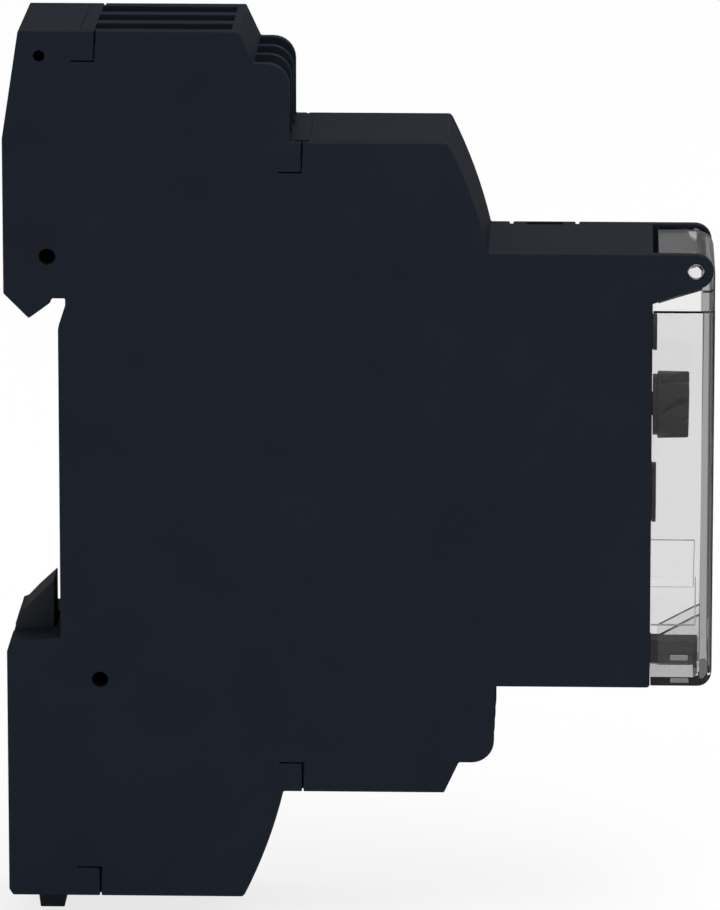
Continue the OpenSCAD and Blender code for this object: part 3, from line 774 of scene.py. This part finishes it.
@dataclass(frozen=True)
class BrokenEdge:
    """The small radius that a mould or a deburring tool leaves on an edge.

    Attributes:
        width: Width of the broken edge, in metres.
        segments: Steps across it.
        crease: Edges sharper than this many degrees are broken.
        crisp_y: Edges that lie at this depth stay crisp, as where two mouldings meet.
        room: The shortest edge that has room for the radius, in widths.
        straight: Creases that meet at more than this many degrees count as one line.
    """

    width: float = 0.12 * MM
    segments: int = 2
    crease: float = 30.0
    crisp_y: float | None = None
    room: float = 2.6
    straight: float = 150.0

    def is_crisp(self, edge: bmesh.types.BMEdge) -> bool:
        """Tells whether an edge lies at the depth that stays crisp."""
        if self.crisp_y is None:
            return False
        return all(abs(vertex.co.y - self.crisp_y) < CLOSE for vertex in edge.verts)

    def is_tight(self, vertex: bmesh.types.BMVert, creases: set[bmesh.types.BMEdge]) -> bool:
        """Tells whether a corner is too narrow for the radius, as at the end of a slit.

        Args:
            vertex: The corner.
            creases: The edges that could be broken.

        Returns:
            True if a short crease turns sharply into another one there.
        """
        here = [edge for edge in vertex.link_edges if edge in creases]
        short = [edge for edge in here if edge.calc_length() < self.room * self.width]
        for edge in short:
            way = edge.other_vert(vertex).co - vertex.co
            for other in here:
                onward = other.other_vert(vertex).co - vertex.co
                if other is not edge and way.angle(onward, 0.0) < math.radians(self.straight):
                    return True
        return False

    def apply(self, mesh: bpy.types.Mesh) -> None:
        """Marks the edges to break, and keeps the other creases crisp.

        Args:
            mesh: A closed mesh of merged faces.
        """
        shell = bmesh.new()
        shell.from_mesh(mesh)
        bmesh.ops.remove_doubles(shell, verts=shell.verts, dist=0.0005 * MM)
        flat = math.radians(0.4)
        bmesh.ops.dissolve_limit(shell, angle_limit=flat, verts=shell.verts, edges=shell.edges)
        weight = shell.edges.layers.float.new("bevel_weight_edge")
        limit = math.radians(self.crease)
        creases = {e for e in shell.edges if e.is_manifold and e.calc_face_angle(0.0) > limit}
        tight = {v for e in creases for v in e.verts if self.is_tight(v, creases)}
        for edge in creases:
            broken = not tight.intersection(edge.verts) and not self.is_crisp(edge)
            edge[weight] = 1.0 if broken else 0.0
            edge.smooth = broken
        shell.to_mesh(mesh)
        shell.free()


def moulded_copy(node: str, finish: Finishes, edge: BrokenEdge) -> Piece:
    """Copies a node's shape with merged faces and broken edges, and puts it in the node's place.

    Args:
        node: The node's name.
        finish: The copy's finish.
        edge: How its edges are broken.

    Returns:
        The copy.
    """
    source = frame["nodes"][node].data
    source.calc_loop_triangles()
    triangles = np.empty(len(source.loop_triangles) * 3, dtype=int)
    source.loop_triangles.foreach_get("vertices", triangles)
    mesh = bpy.data.meshes.new(f"{node}_moulded")
    mesh.from_pydata(points_of(source).tolist(), [], triangles.reshape(-1, 3).tolist())
    mesh.shade_smooth()
    edge.apply(mesh)
    piece = placed(f"{node}_moulded", mesh)
    bevel = piece.modifiers.new("broken_edges", "BEVEL")
    tuned(bevel, limit_method="WEIGHT", width=edge.width, segments=edge.segments)
    tuned(bevel, use_clamp_overlap=False, harden_normals=True, miter_outer="MITER_ARC")
    stand_for(piece, node, finish)
    return piece


# ---------------- sub-assemblies


class Row(Enum):
    """The two terminal rows, by the first word of their nodes' names."""

    TOP = "top"
    BOTTOM = "bottom"


class Pole(Enum):
    """The poles of a row, by the last word of their nodes' names."""

    LEFT = "left"
    MIDDLE = "middle"
    RIGHT = "right"


PLATE_Y = float(Box.of("light_pipes").low[1])  # depth of the front plate's face


@dataclass
class Housing:
    """The case, its side cover, its four lids and the front plate.

    Attributes:
        edge: How the mouldings' outer edges are broken.
        lid_edge: The finer radius of the lids.
    """

    edge: BrokenEdge = BrokenEdge(0.13 * MM, 3, crisp_y=PLATE_Y)
    lid_edge: BrokenEdge = BrokenEdge(0.1 * MM, 2)

    def build(self) -> None:
        """Makes and dresses every piece of the housing."""
        moulded_copy("main_case", Finishes.HOUSING, self.edge)
        moulded_copy("side_cover", Finishes.HOUSING, self.edge)
        for lid in ("terminal_cover", "blank_cover"):
            for row in Row:
                moulded_copy(f"{row.value}_{lid}", Finishes.HOUSING, self.lid_edge)
        moulded_copy("front_plate", Finishes.FRONT, self.lid_edge)


@dataclass
class PrintedScale:
    """Plain ticks, and numbers where there is room, printed round one adjuster.

    Attributes:
        name: The piece's name.
        around: The node that the scale goes round.
        turn: The joint whose range the scale spans.
        steps: Number of spaces between ticks.
        gap: From the adjuster's rim to the ticks.
        tick: Length of a tick.
        tick_width: Width of a tick.
        ink: Thickness of the ink.
        numbers: The numbers, spread evenly over the range, or none.
        number_height: Height of a number.
        letter_size: Size of the lettering, in heights of a number.
        number_lift: From the ticks' outer ends to the numbers' middles, in heights of a number.
    """

    name: str
    around: str
    turn: str
    steps: int
    gap: float = 0.4 * MM
    tick: float = 0.5 * MM
    tick_width: float = 0.14 * MM
    ink: float = 0.02 * MM
    numbers: tuple[str, ...] = ()
    number_height: float = 1.05 * MM
    letter_size: float = 1.35
    number_lift: float = 0.62

    def spots(self, count: int) -> np.ndarray:
        """Spreads angles over the joint's range, clockwise from the lower left as the front is seen.

        Args:
            count: How many angles.

        Returns:
            The angles from straight up, in radians.
        """
        low, high = joint_named(self.turn)["range_deg"]
        return np.radians(np.linspace(low, high, count))

    def ticks(self, centre: np.ndarray, inner: float) -> list[np.ndarray]:
        """Works out the ticks, each a thin bar along a radius.

        A bar's four corners are the radius's inner and outer points, moved half a width to each side, and
        its two rows are the ink's foot and face.

        Args:
            centre: The adjuster's centre on the front plate.
            inner: Radius at which the ticks start.

        Returns:
            One grid of two rows and four columns for each tick.
        """
        angle = self.spots(self.steps + 1)
        out = np.stack([np.sin(angle), np.zeros_like(angle), np.cos(angle)], axis=1)
        side = np.stack([np.cos(angle), np.zeros_like(angle), -np.sin(angle)], axis=1)
        half = self.tick_width / 2
        ends = [(inner, -half), (inner, half), (inner + self.tick, half), (inner + self.tick, -half)]
        face = np.stack([centre + out * r + side * s for r, s in ends], axis=1)
        lift = np.array([0.0, -self.ink, 0.0])
        return [np.stack([bar, bar + lift]) for bar in face]

    def number_meshes(self, centre: np.ndarray, radius: float) -> list[Piece]:
        """Sets the numbers upright round the scale.

        Args:
            centre: The adjuster's centre on the front plate.
            radius: Radius of the numbers' middles.

        Returns:
            One mesh object for each number.
        """
        made = []
        for angle, text in zip(self.spots(len(self.numbers)), self.numbers):
            name = f"{self.name}_{text}"
            curve = tuned(bpy.data.curves.new(name, "FONT"), body=text, align_x="CENTER", align_y="CENTER")
            tuned(curve, size=self.number_height * self.letter_size, extrude=self.ink / 2)
            flat = placed(name, curve)
            bpy.context.view_layer.update()
            scene_now = bpy.context.evaluated_depsgraph_get()
            mesh = bpy.data.meshes.new_from_object(flat.evaluated_get(scene_now))
            bpy.data.objects.remove(flat)
            across, up, lift = points_of(mesh).T
            middle = centre + np.array([math.sin(angle), 0.0, math.cos(angle)]) * radius
            place = np.stack([middle[0] + across, middle[1] - self.ink / 2 - lift, middle[2] + up], axis=1)
            mesh.vertices.foreach_set("co", place.ravel())
            made.append(placed(name, mesh))
        return made

    def build(self) -> None:
        """Makes the scale as one piece on the front plate."""
        adjuster = Box.of(self.around)
        centre = np.array([adjuster.centre[0], PLATE_Y, adjuster.centre[2]])
        inner = adjuster.size[0] / 2 + self.gap
        piece = surface_piece(self.name, self.ticks(centre, inner))
        numbers = self.number_meshes(centre, inner + self.tick + self.number_lift * self.number_height)
        if numbers:
            chosen = [piece, *numbers]
            with bpy.context.temp_override(active_object=piece, selected_editable_objects=chosen):
                bpy.ops.object.join()
        clothe(piece.data, Finishes.INK)
        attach(piece, NODE_BODY["front_plate"])
        LOG.info("%s printed round %s", self.name, self.around)


@dataclass
class TimeKnob:
    """The knob that sets the time, with flutes that deepen towards its front.

    Attributes:
        flutes: Number of flutes.
        depth: Depth of a flute at the front rim.
        width: Width of a flute at the front rim, as a share of the way from one crest to the next.
        root: Where a flute is deepest, as a share of its width.
        phase: How far the first crest lies below level, in degrees.
        taper: How much the radius shrinks from base to front.
        collar: Height of the narrower collar at the base.
        neck: How much less the collar's radius is.
        hub: Radius of the small flat that caps the base.
        ease: Run of the steps at the collar and at the slot's walls, which aren't quite upright.
        rim: Rounding of the front rim.
        least: Share of its width that a flute starts with at the collar.
        fade: Power of the radius by which the flutes fade towards the middle of the front.
        slot_width: Width of the screwdriver slot.
        slot_deep: Depth of the slot.
        slot_way: Direction of the slot, sideways and up.
        slot_tail: How far the slot runs past the middle at its short end.
        slot_end: Run of the slot's short end.
        columns: Points round the knob for each flute.
        rows: Points along the wall, and again across the front.
    """

    flutes: int = 6
    depth: float = 1.3 * MM
    width: float = 0.94
    root: float = 0.66
    phase: float = 10.0
    taper: float = 0.08 * MM
    collar: float = 0.5 * MM
    neck: float = 0.32 * MM
    hub: float = 0.05 * MM
    ease: float = 0.06 * MM
    rim: float = 0.16 * MM
    least: float = 0.02
    fade: int = 4
    slot_width: float = 0.8 * MM
    slot_deep: float = 0.55 * MM
    slot_way: tuple[float, float] = (0.34, 0.94)
    slot_tail: float = 0.5 * MM
    slot_end: float = 0.1 * MM
    columns: int = 48
    rows: int = 22

    def skin(self, radius: float, height: float) -> np.ndarray:
        """Works out the knob's outline, from the middle of the base to the middle of the front.

        Args:
            radius: The knob's greatest radius.
            height: The knob's height.

        Returns:
            Steps of (radius, height).
        """
        fall, climb = quarter_turn(5)
        side = np.linspace(self.collar, height - self.rim, self.rows)
        face = radius - self.taper - self.rim
        neck = radius - self.neck
        foot = [(self.hub, 0.0), (neck, 0.0), (neck, self.collar - self.ease)]
        wall = np.stack([radius - self.taper * (side - self.collar) / height, side], axis=1)
        rim = np.stack([face + self.rim * fall, height - self.rim + self.rim * climb], axis=1)[1:]
        disc = np.linspace(1, 0.03, self.rows)[1:] * face
        return np.concatenate([foot, wall, rim, np.stack([disc, np.full_like(disc, height)], axis=1)])

    def flute(self, rise: np.ndarray) -> tuple[np.ndarray, np.ndarray]:
        """Works out the angles of the columns and how far each lies into a flute.

        A flute starts at a crest that runs straight along the knob. Its width grows evenly with the rise,
        so its root and its far edge run on a slant. The share grows in a straight line from 0 at the crest
        to 1 at the root and falls to 0 at the far edge. Half the columns lie before the root, a quarter
        between root and edge and a quarter on the land beyond, so that the creases follow the columns.

        Args:
            rise: How far up the knob each row is, from 0 to 1.

        Returns:
            The angles in radians and the shares from 0 to 1, as rows by columns.
        """
        step = np.arange(self.columns)[None] / self.columns
        wide = np.clip(rise, self.least, 1)[:, None] * self.width
        crest, root, edge = 0.0, 0.5, 0.75
        share = np.interp(step, [crest, root, edge], [0.0, 1.0, 0.0]) * np.ones_like(wide)
        flank = np.interp(step, [crest, root, edge], [0.0, self.root, 1.0]) * wide
        land = wide + (1 - wide) * (step - edge) / (1 - edge)
        way = np.where(step <= edge, flank, land)
        start = np.arange(self.flutes)[None, :, None]
        angle = (start + way[:, None, :]) * 2 * math.pi / self.flutes - math.radians(self.phase)
        return angle.reshape(len(rise), -1), np.tile(share, (1, self.flutes))

    def surface(self, box: Box) -> np.ndarray:
        """Works out the knob's surface over height and angle.

        The radius is the outline's radius less the flute's depth there, which grows evenly with the
        height. The front face sinks by the slot's depth within half a width of the slot's line.

        Args:
            box: The box to fill.

        Returns:
            The grid of points, from the middle of the base to the middle of the front.
        """
        radius, height = box.size[0] / 2, box.size[1]
        r, h = self.skin(radius, height).T
        rise = np.clip((h - self.collar) / (height - self.collar), 0, 1)
        angle, share = self.flute(rise)
        reach = np.clip(r / (radius - self.taper - self.rim), 0, 1) ** self.fade
        across = r[:, None] - self.depth * (rise * reach)[:, None] * share
        x = -across * np.cos(angle)
        z = across * np.sin(angle)
        side, up = self.slot_way
        along_slot = z * up + x * side
        off_slot = np.abs(x * up - z * side)
        wall = np.clip((self.slot_width / 2 + self.ease - off_slot) / self.ease, 0, 1)
        end = np.clip((along_slot + self.slot_tail) / self.slot_end, 0, 1)
        is_face = h[:, None] >= height - CLOSE
        front = h[:, None] - self.slot_deep * wall * end * is_face
        return np.stack([box.centre[0] + x, box.high[1] - front, box.centre[2] + z], axis=-1)

    def build(self) -> None:
        """Makes the knob in place of its plain node, and dresses its shaft."""
        knob = surface_piece("time_knob_fluted", [self.surface(Box.of("time_knob"))], 22.0)
        stand_for(knob, "time_knob", Finishes.KNOB)
        dress_node("knob_shaft", Finishes.NYLON)


@dataclass
class Adjusters:
    """The two slotted selectors, the bodies behind the plate and the lamps with their light pipes.

    Attributes:
        edge: How the selectors' edges are broken.
        pipe_edge: The finer radius of the light pipes.
        dome: Height of a lamp's dome.
    """

    edge: BrokenEdge = BrokenEdge(0.07 * MM, 2)
    pipe_edge: BrokenEdge = BrokenEdge(0.05 * MM, 2)
    dome: float = 0.6 * MM

    def lamp_feet(self, box: Box) -> list[np.ndarray]:
        """Places one axis at each end of a box that holds two round parts side by side.

        Args:
            box: The box round both parts.

        Returns:
            The foot of each part's axis.
        """
        radius = box.size[2] / 2
        ends = (box.low[0] + radius, box.high[0] - radius)
        return [np.array([x, box.high[1], box.centre[2]]) for x in ends]

    def build(self) -> None:
        """Makes and dresses the adjusters and lamps."""
        dress_node("time_potentiometer", Finishes.POTENTIOMETER)
        for setting in ("function", "range"):
            moulded_copy(f"{setting}_selector", Finishes.SELECTOR, self.edge)
            dress_node(f"{setting}_switch", Finishes.COMPOUND)
        lamps = Box.of("indicator_leds")
        radius, length = lamps.size[2] / 2, lamps.size[1]
        fall, climb = quarter_turn(7)
        dome = np.stack([radius * fall, length - self.dome + self.dome * climb], axis=1)
        profile = np.concatenate([[[radius, 0]], dome[:-1], [[HUB, length]]])
        grids = [turned(profile, foot, Axis.FRONT, 28) for foot in self.lamp_feet(lamps)]
        stand_for(surface_piece("indicator_lamps_domed", grids), "indicator_leds", Finishes.LAMP)
        moulded_copy("light_pipes", Finishes.LIGHT_PIPE, self.pipe_edge)


@dataclass
class ClearCover:
    """The hinged clear cover with its pins and ribs.

    Attributes:
        edge: The polished radius of its edges.
    """

    edge: BrokenEdge = BrokenEdge(0.06 * MM, 2, crisp_y=float(Box.of("clear_cover").high[1]))

    def build(self) -> None:
        """Makes and dresses the cover."""
        moulded_copy("clear_cover", Finishes.CLEAR, self.edge)


@dataclass
class RailLatch:
    """The sprung latch that grips the rail, and its compression spring.

    Attributes:
        edge: How the latch's edges are broken.
        wire: Diameter of the spring's wire.
        fit: The wire's thickness in its box, as a share of its diameter.
        turns: Turns of the spring, the two closed ones included.
        turn_points: Points of the centre line in each turn.
        closed: How much of a turn lies almost flat at each end.
        even_climb: Share of the spring's length that the line climbs evenly, closed turns included.
    """

    edge: BrokenEdge = BrokenEdge(0.12 * MM, 2)
    wire: float = 0.35 * MM
    fit: float = 0.99
    turns: int = 9
    turn_points: int = 28
    closed: float = 0.55
    even_climb: float = 0.12

    def spring_path(self, box: Box) -> np.ndarray:
        """Works out the spring's centre line.

        The line turns evenly about the vertical at a fixed radius. Its height is a small even climb, plus
        a climb that only the open turns make, so both ends lie almost flat, as ground ends do.

        Args:
            box: The box to fill.

        Returns:
            The points of the line, one a row.
        """
        radius = (min(box.size[0], box.size[1]) - self.wire) / 2
        share = np.linspace(0, 1, self.turns * self.turn_points + 1)
        angle = 2 * math.pi * self.turns * share
        closed = self.closed / self.turns
        open_turns = np.clip((share - closed) / (1 - 2 * closed), 0, 1)
        rise = self.even_climb * share + (1 - self.even_climb) * open_turns
        low, high = box.low[2] + self.wire / 2, box.high[2] - self.wire / 2
        x = box.centre[0] + radius * np.cos(angle)
        y = box.centre[1] + radius * np.sin(angle)
        return np.stack([x, y, low + (high - low) * rise], axis=1)

    def build(self) -> None:
        """Makes the latch and its spring."""
        moulded_copy("rail_latch", Finishes.LATCH, self.edge)
        box = Box.of("latch_spring")
        tube = swept_tube(self.spring_path(box), self.wire / 2 * self.fit, 10)
        spring = surface_piece("latch_spring_wound", [tube], 60.0)
        stand_for(spring, "latch_spring", Finishes.SPRING)
        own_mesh(spring)


@dataclass
class TerminalRow:
    """Three clamp terminals in their insulating block.

    Attributes:
        row: Which row it is.
        screw_edge: How the turned screws are deburred.
        cage_edge: How the stamped cages are deburred.
    """

    row: Row
    screw_edge: BrokenEdge = BrokenEdge(0.08 * MM, 2)
    cage_edge: BrokenEdge = BrokenEdge(0.15 * MM, 2)

    def build(self) -> None:
        """Makes and dresses the row's pieces."""
        for pole in Pole:
            moulded_copy(f"{self.row.value}_screw_{pole.value}", Finishes.ZINC, self.screw_edge)
            moulded_copy(f"{self.row.value}_cage_{pole.value}", Finishes.ZINC, self.cage_edge)
        dress_node(f"{self.row.value}_terminal_carrier", Finishes.CARRIER)
        dress_node(f"{self.row.value}_busbars", Finishes.TINNED)


@dataclass
class Relay:
    """The output relay: base, case, magnet and contacts.

    Attributes:
        case_edge: How the case's edges are rounded.
    """

    case_edge: BrokenEdge = BrokenEdge(0.2 * MM, 2)

    def build(self) -> None:
        """Makes and dresses the relay's pieces."""
        dress_node("relay_base", Finishes.COMPOUND)
        moulded_copy("relay_cover", Finishes.RELAY_CASE, self.case_edge)
        dress_node("relay_bobbin", Finishes.NYLON)
        dress_node("relay_coil", Finishes.COPPER)
        dress_node("relay_yoke", Finishes.IRON)
        dress_node("relay_armature", Finishes.IRON)
        dress_node("relay_contact", Finishes.CONTACT)


@dataclass
class Electronics:
    """The two boards and the components that stand on the main one.

    Attributes:
        chip_edge: How the moulded chips' and the connector's edges are broken.
        film_edge: How the film capacitor's box is rounded.
        large_can: Radius of the larger capacitor can.
        can_gap: Space between the two cans.
        can_short: How much shorter the small can is.
        can_corner: Rounding of a can's ends.
        crimp: Height of the groove round a can.
        crimp_run: Half the groove's height.
        crimp_deep: Depth of that groove.
        disc_blunt: Power by which the varistor's rim is blunter than a circle's.
        barrel: Radius of a resistor's middle, as a share of its ends'.
    """

    chip_edge: BrokenEdge = BrokenEdge(0.1 * MM, 2)
    film_edge: BrokenEdge = BrokenEdge(0.3 * MM, 3)
    large_can: float = 4.0 * MM
    can_gap: float = 3.35 * MM
    can_short: float = 1.5 * MM
    can_corner: float = 0.35 * MM
    crimp: float = 1.4 * MM
    crimp_run: float = 0.5 * MM
    crimp_deep: float = 0.25 * MM
    disc_blunt: float = 0.45
    barrel: float = 0.86

    def can(self, radius: float, length: float) -> np.ndarray:
        """Works out the profile of an electrolytic capacitor.

        Both ends are rounded by a quarter circle, and the crimp groove near the foot is half a sine wave.

        Args:
            radius: The can's radius.
            length: The can's length.

        Returns:
            Steps of (radius, length) from the board outwards.
        """
        fall, climb = quarter_turn(5)
        corner = self.can_corner
        foot = np.stack([radius - corner + corner * climb, corner - corner * fall], axis=1)
        head = np.stack([foot[::-1, 0], length - foot[::-1, 1]], axis=1)
        turn = np.linspace(0, math.pi, 9)
        hollow = radius - self.crimp_deep * np.sin(turn)
        groove = np.stack([hollow, self.crimp + self.crimp_run * (1 - np.cos(turn))], axis=1)
        return np.concatenate([foot, groove, head])

    def build(self) -> None:
        """Makes and dresses the boards and components."""
        for board in ("main_board", "front_board"):
            dress_node(board, Finishes.LAMINATE)
        for black in ("board_connector", "bridge_rectifier", "microcontroller"):
            moulded_copy(black, Finishes.COMPOUND, self.chip_edge)
        moulded_copy("film_capacitor", Finishes.FILM_BOX, self.film_edge)
        self.build_cans()
        self.build_varistor()
        self.build_resistors()

    def build_cans(self) -> None:
        """Makes the two capacitor cans, which stand on the board and point away from it."""
        box = Box.of("electrolytic_capacitors")
        large = self.large_can
        small = (box.size[2] - 2 * large - self.can_gap) / 2
        cans = (
            (large, box.size[0], box.high[2] - large),
            (small, box.size[0] - self.can_short, box.low[2] + small),
        )
        grids = []
        for radius, length, z in cans:
            foot = np.array([box.high[0], box.low[1] + large, z])
            profile = self.can(radius, length) * (1, -1)
            grids.append(turned(profile, foot, Axis.X, 40))
        stand_for(surface_piece("capacitor_cans", grids), "electrolytic_capacitors", Finishes.SLEEVE)

    def build_varistor(self) -> None:
        """Makes the dipped disc.

        Over an angle from foot to face, its radius is the sine to a power below one, which keeps the rim
        blunt, and its length is one minus the cosine.
        """
        box = Box.of("varistor")
        radius, length = box.size[2] / 2, box.size[1]
        turn = np.linspace(0.02, math.pi - 0.02, 25)
        bulge = radius * np.sin(turn) ** self.disc_blunt
        profile = np.stack([bulge, length / 2 * (1 - np.cos(turn))], axis=1)
        foot = np.array([box.centre[0], box.high[1], box.centre[2]])
        disc = surface_piece("varistor_dipped", [turned(profile, foot, Axis.FRONT, 48)])
        stand_for(disc, "varistor", Finishes.VARISTOR)

    def build_resistors(self) -> None:
        """Makes three lacquered barrels, each with a bulge at both ends where its caps sit.

        The radius grows from the barrel's middle with the cube of the way to an end, and falls at the tip
        with the square root of one minus a high power of that way.
        """
        box = Box.of("dropper_resistors")
        radius, length = box.size[0] / 2, box.size[2]
        along = np.linspace(0.0, 1.0, 29)
        way = np.abs(2 * along - 1)
        bead = self.barrel + (1 - self.barrel) * way**3
        tip = np.sqrt(np.clip(1 - way**14, 0.02, 1))
        profile = np.stack([radius * bead * tip, along * length], axis=1)
        rows = np.linspace(box.low[1] + radius, box.high[1] - radius, 3)
        grids = [turned(profile, np.array([box.centre[0], y, box.low[2]]), Axis.Z, 28) for y in rows]
        stand_for(surface_piece("resistor_barrels", grids), "dropper_resistors", Finishes.RESISTOR)


# ---------------- studio


@dataclass(frozen=True)
class Softbox:
    """A square lamp behind a diffusing cloth.

    Attributes:
        name: The lamp's name.
        place: Where it hangs, in metres.
        size: Its edge, in metres.
        power: Its power, in watts.
    """

    name: str
    place: tuple[float, float, float]
    size: float
    power: float

    def hang(self, target: Vector) -> None:
        """Hangs the lamp, which clear plastic doesn't show, and aims it. Args: target: its aim."""
        light = bpy.data.lights.new(self.name, "AREA")
        tuned(light, shape="SQUARE", size=self.size, energy=self.power)
        turn = (target - Vector(self.place)).to_track_quat("-Z", "Y").to_euler()
        lamp = placed(self.name, light)
        tuned(lamp, location=self.place, rotation_euler=turn, visible_transmission=False)


@dataclass
class Studio:
    """A pale floor, soft lamps and the camera.

    Attributes:
        camera_place: Where the camera stands, in metres.
        heading: Camera's heading from +X towards +Y, in degrees.
        tilt: Camera's tilt below level, in degrees.
        lens: Focal length in millimetres on a 36 mm wide sensor.
        ambient: Light that comes evenly from all round.
        mirrored: How bright the white background is in a gloss, as the room round it is dim.
        inner: How bright it is to light that clear plastic has mirrored inside itself.
        floor_size: Edge of the floor, in metres.
        shadow_share: How strongly the floor shows the object's shadow.
        lamps: The softboxes.
    """

    camera_place: tuple[float, float, float] = (-0.78105, -0.0553, 0.1767)
    heading: float = 1.832
    tilt: float = 12.765
    lens: float = 390.6
    ambient: float = 0.72
    mirrored: float = 0.2
    inner: float = 0.4
    floor_size: float = 6.0
    shadow_share: float = 0.22
    lamps: tuple[Softbox, ...] = (
        Softbox("overhead_softbox", (-0.27, -0.32, 0.84), 0.6, 4.0),
        Softbox("high_left_softbox", (-0.75, 0.45, 0.75), 0.7, 0.5),
        Softbox("high_right_softbox", (0.75, -0.35, 0.75), 0.7, 2.0),
    )

    def has_turned(self, tree: Tree, depth: str) -> Socket:
        """Tells whether the light on a ray has been turned in one way at least once.

        Args:
            tree: The node tree.
            depth: Blender's name for the count of such turns.

        Returns:
            1 if it has, else 0.
        """
        settings = {"operation": "MINIMUM", 1: 1.0}
        return add_node(tree, "ShaderNodeMath", settings, {0: light_path(tree, depth)}).outputs[0]

    def backdrop(self, tree: Tree) -> Socket:
        """Works out how bright the white backdrop is to a ray that no matt surface has scattered.

        Args:
            tree: The node tree.

        Returns:
            1 where it is looked at, straight or through clear plastic, the mirrored share in a gloss, and
            the inner share for light that is mirrored inside clear plastic and then leaves it.
        """
        dim = ramp(tree, light_path(tree, "Is Transmission Ray"), 0, 1, self.mirrored, self.inner)
        settings = {"data_type": "FLOAT", 2: 1.0}
        links = {0: self.has_turned(tree, "Glossy Depth"), 3: dim}
        return add_node(tree, "ShaderNodeMix", settings, links).outputs[0]

    def build_world(self) -> None:
        """Makes the world: even soft light for matt surfaces, and white where it is looked at.

        Light through clear plastic already reaches what is behind it as plain shadow rays, so a scattered
        ray that leaves through the plastic finds nothing.
        """
        world = bpy.data.worlds.new("studio_air")
        bpy.context.scene.world = world
        tree = empty_tree(world)
        settled = ramp(tree, light_path(tree, "Is Transmission Ray"), 0, 1, self.ambient, 0)
        links = {0: self.has_turned(tree, "Diffuse Depth"), 2: self.backdrop(tree), 3: settled}
        strength = add_node(tree, "ShaderNodeMix", {"data_type": "FLOAT"}, links).outputs[0]
        sky = add_node(tree, "ShaderNodeBackground", {"Color": linear("#ffffff")}, {"Strength": strength})
        add_node(tree, "ShaderNodeOutputWorld", links={"Surface": sky.outputs[0]})

    def floor_surface(self, tree: Tree) -> Socket:
        """Builds the floor's paper, which glows white to the camera but keeps the shadow.

        Args:
            tree: The floor's material tree.

        Returns:
            The shader.
        """
        paper = add_node(tree, "ShaderNodeBsdfDiffuse", {"Color": linear("#f2f2f2")}).outputs[0]
        links = {"Strength": self.backdrop(tree)}
        glow = add_node(tree, "ShaderNodeEmission", {"Color": linear("#ffffff")}, links).outputs[0]
        shadowed = ramp(tree, self.has_turned(tree, "Glossy Depth"), 0, 1, self.shadow_share, 0)
        shown = add_node(tree, "ShaderNodeMixShader", links={0: shadowed, 1: glow, 2: paper}).outputs[0]
        links = {0: self.has_turned(tree, "Diffuse Depth"), 1: shown, 2: paper}
        return add_node(tree, "ShaderNodeMixShader", links=links).outputs[0]

    def build_floor(self) -> None:
        """Lays the pale floor under the object."""
        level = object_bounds()[0][2]
        half = self.floor_size / 2
        mesh = bpy.data.meshes.new("floor")
        corners = [(x * half, y * half, level) for x, y in ((-1, -1), (1, -1), (1, 1), (-1, 1))]
        mesh.from_pydata(corners, [], [(0, 1, 2, 3)])
        floor = placed("floor", mesh)
        material = bpy.data.materials.new("pale_studio_floor")
        tree = empty_tree(material)
        add_node(tree, "ShaderNodeOutputMaterial", links={"Surface": self.floor_surface(tree)})
        mesh.materials.append(material)
        floor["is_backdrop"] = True

    def build_camera(self) -> None:
        """Sets up the long-lens camera a little in front of and above the object's left side."""
        data = bpy.data.cameras.new("camera")
        tuned(data, sensor_fit="HORIZONTAL", sensor_width=36.0, lens=self.lens)
        data.dof.use_dof = False
        camera = placed("camera", data)
        camera.location = self.camera_place
        heading, tilt = math.radians(self.heading), math.radians(self.tilt)
        level = math.cos(tilt)
        way = Vector((level * math.cos(heading), level * math.sin(heading), -math.sin(tilt)))
        camera.rotation_euler = way.to_track_quat("-Z", "Y").to_euler()
        bpy.context.scene.camera = camera

    def build(self) -> None:
        """Makes the whole studio."""
        bpy.context.scene.view_settings.view_transform = "Standard"
        self.build_world()
        self.build_floor()
        middle = Vector((np.array(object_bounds()[0]) + np.array(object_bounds()[1])) / 2)
        for lamp in self.lamps:
            lamp.hang(middle)
        self.build_camera()


def main() -> None:
    """Builds the studio and every sub-assembly."""
    logging.basicConfig(level=logging.INFO, format="%(name)s: %(message)s")
    Studio().build()
    assemblies = [
        Housing(),
        PrintedScale(
            "time_scale", "time_knob", "time_knob_turn", 10, numbers=("0", "2", "4", "6", "8", "10")
        ),
        PrintedScale("function_scale", "function_selector", "function_selector_turn", 6),
        PrintedScale("range_scale", "range_selector", "range_selector_turn", 6, gap=0.3 * MM),
        TimeKnob(),
        Adjusters(),
        ClearCover(),
        RailLatch(),
        TerminalRow(Row.TOP),
        TerminalRow(Row.BOTTOM),
        Relay(),
        Electronics(),
    ]
    for assembly in assemblies:
        LOG.info("building %s", type(assembly).__name__)
        assembly.build()


if __name__ == "__main__":
    main()
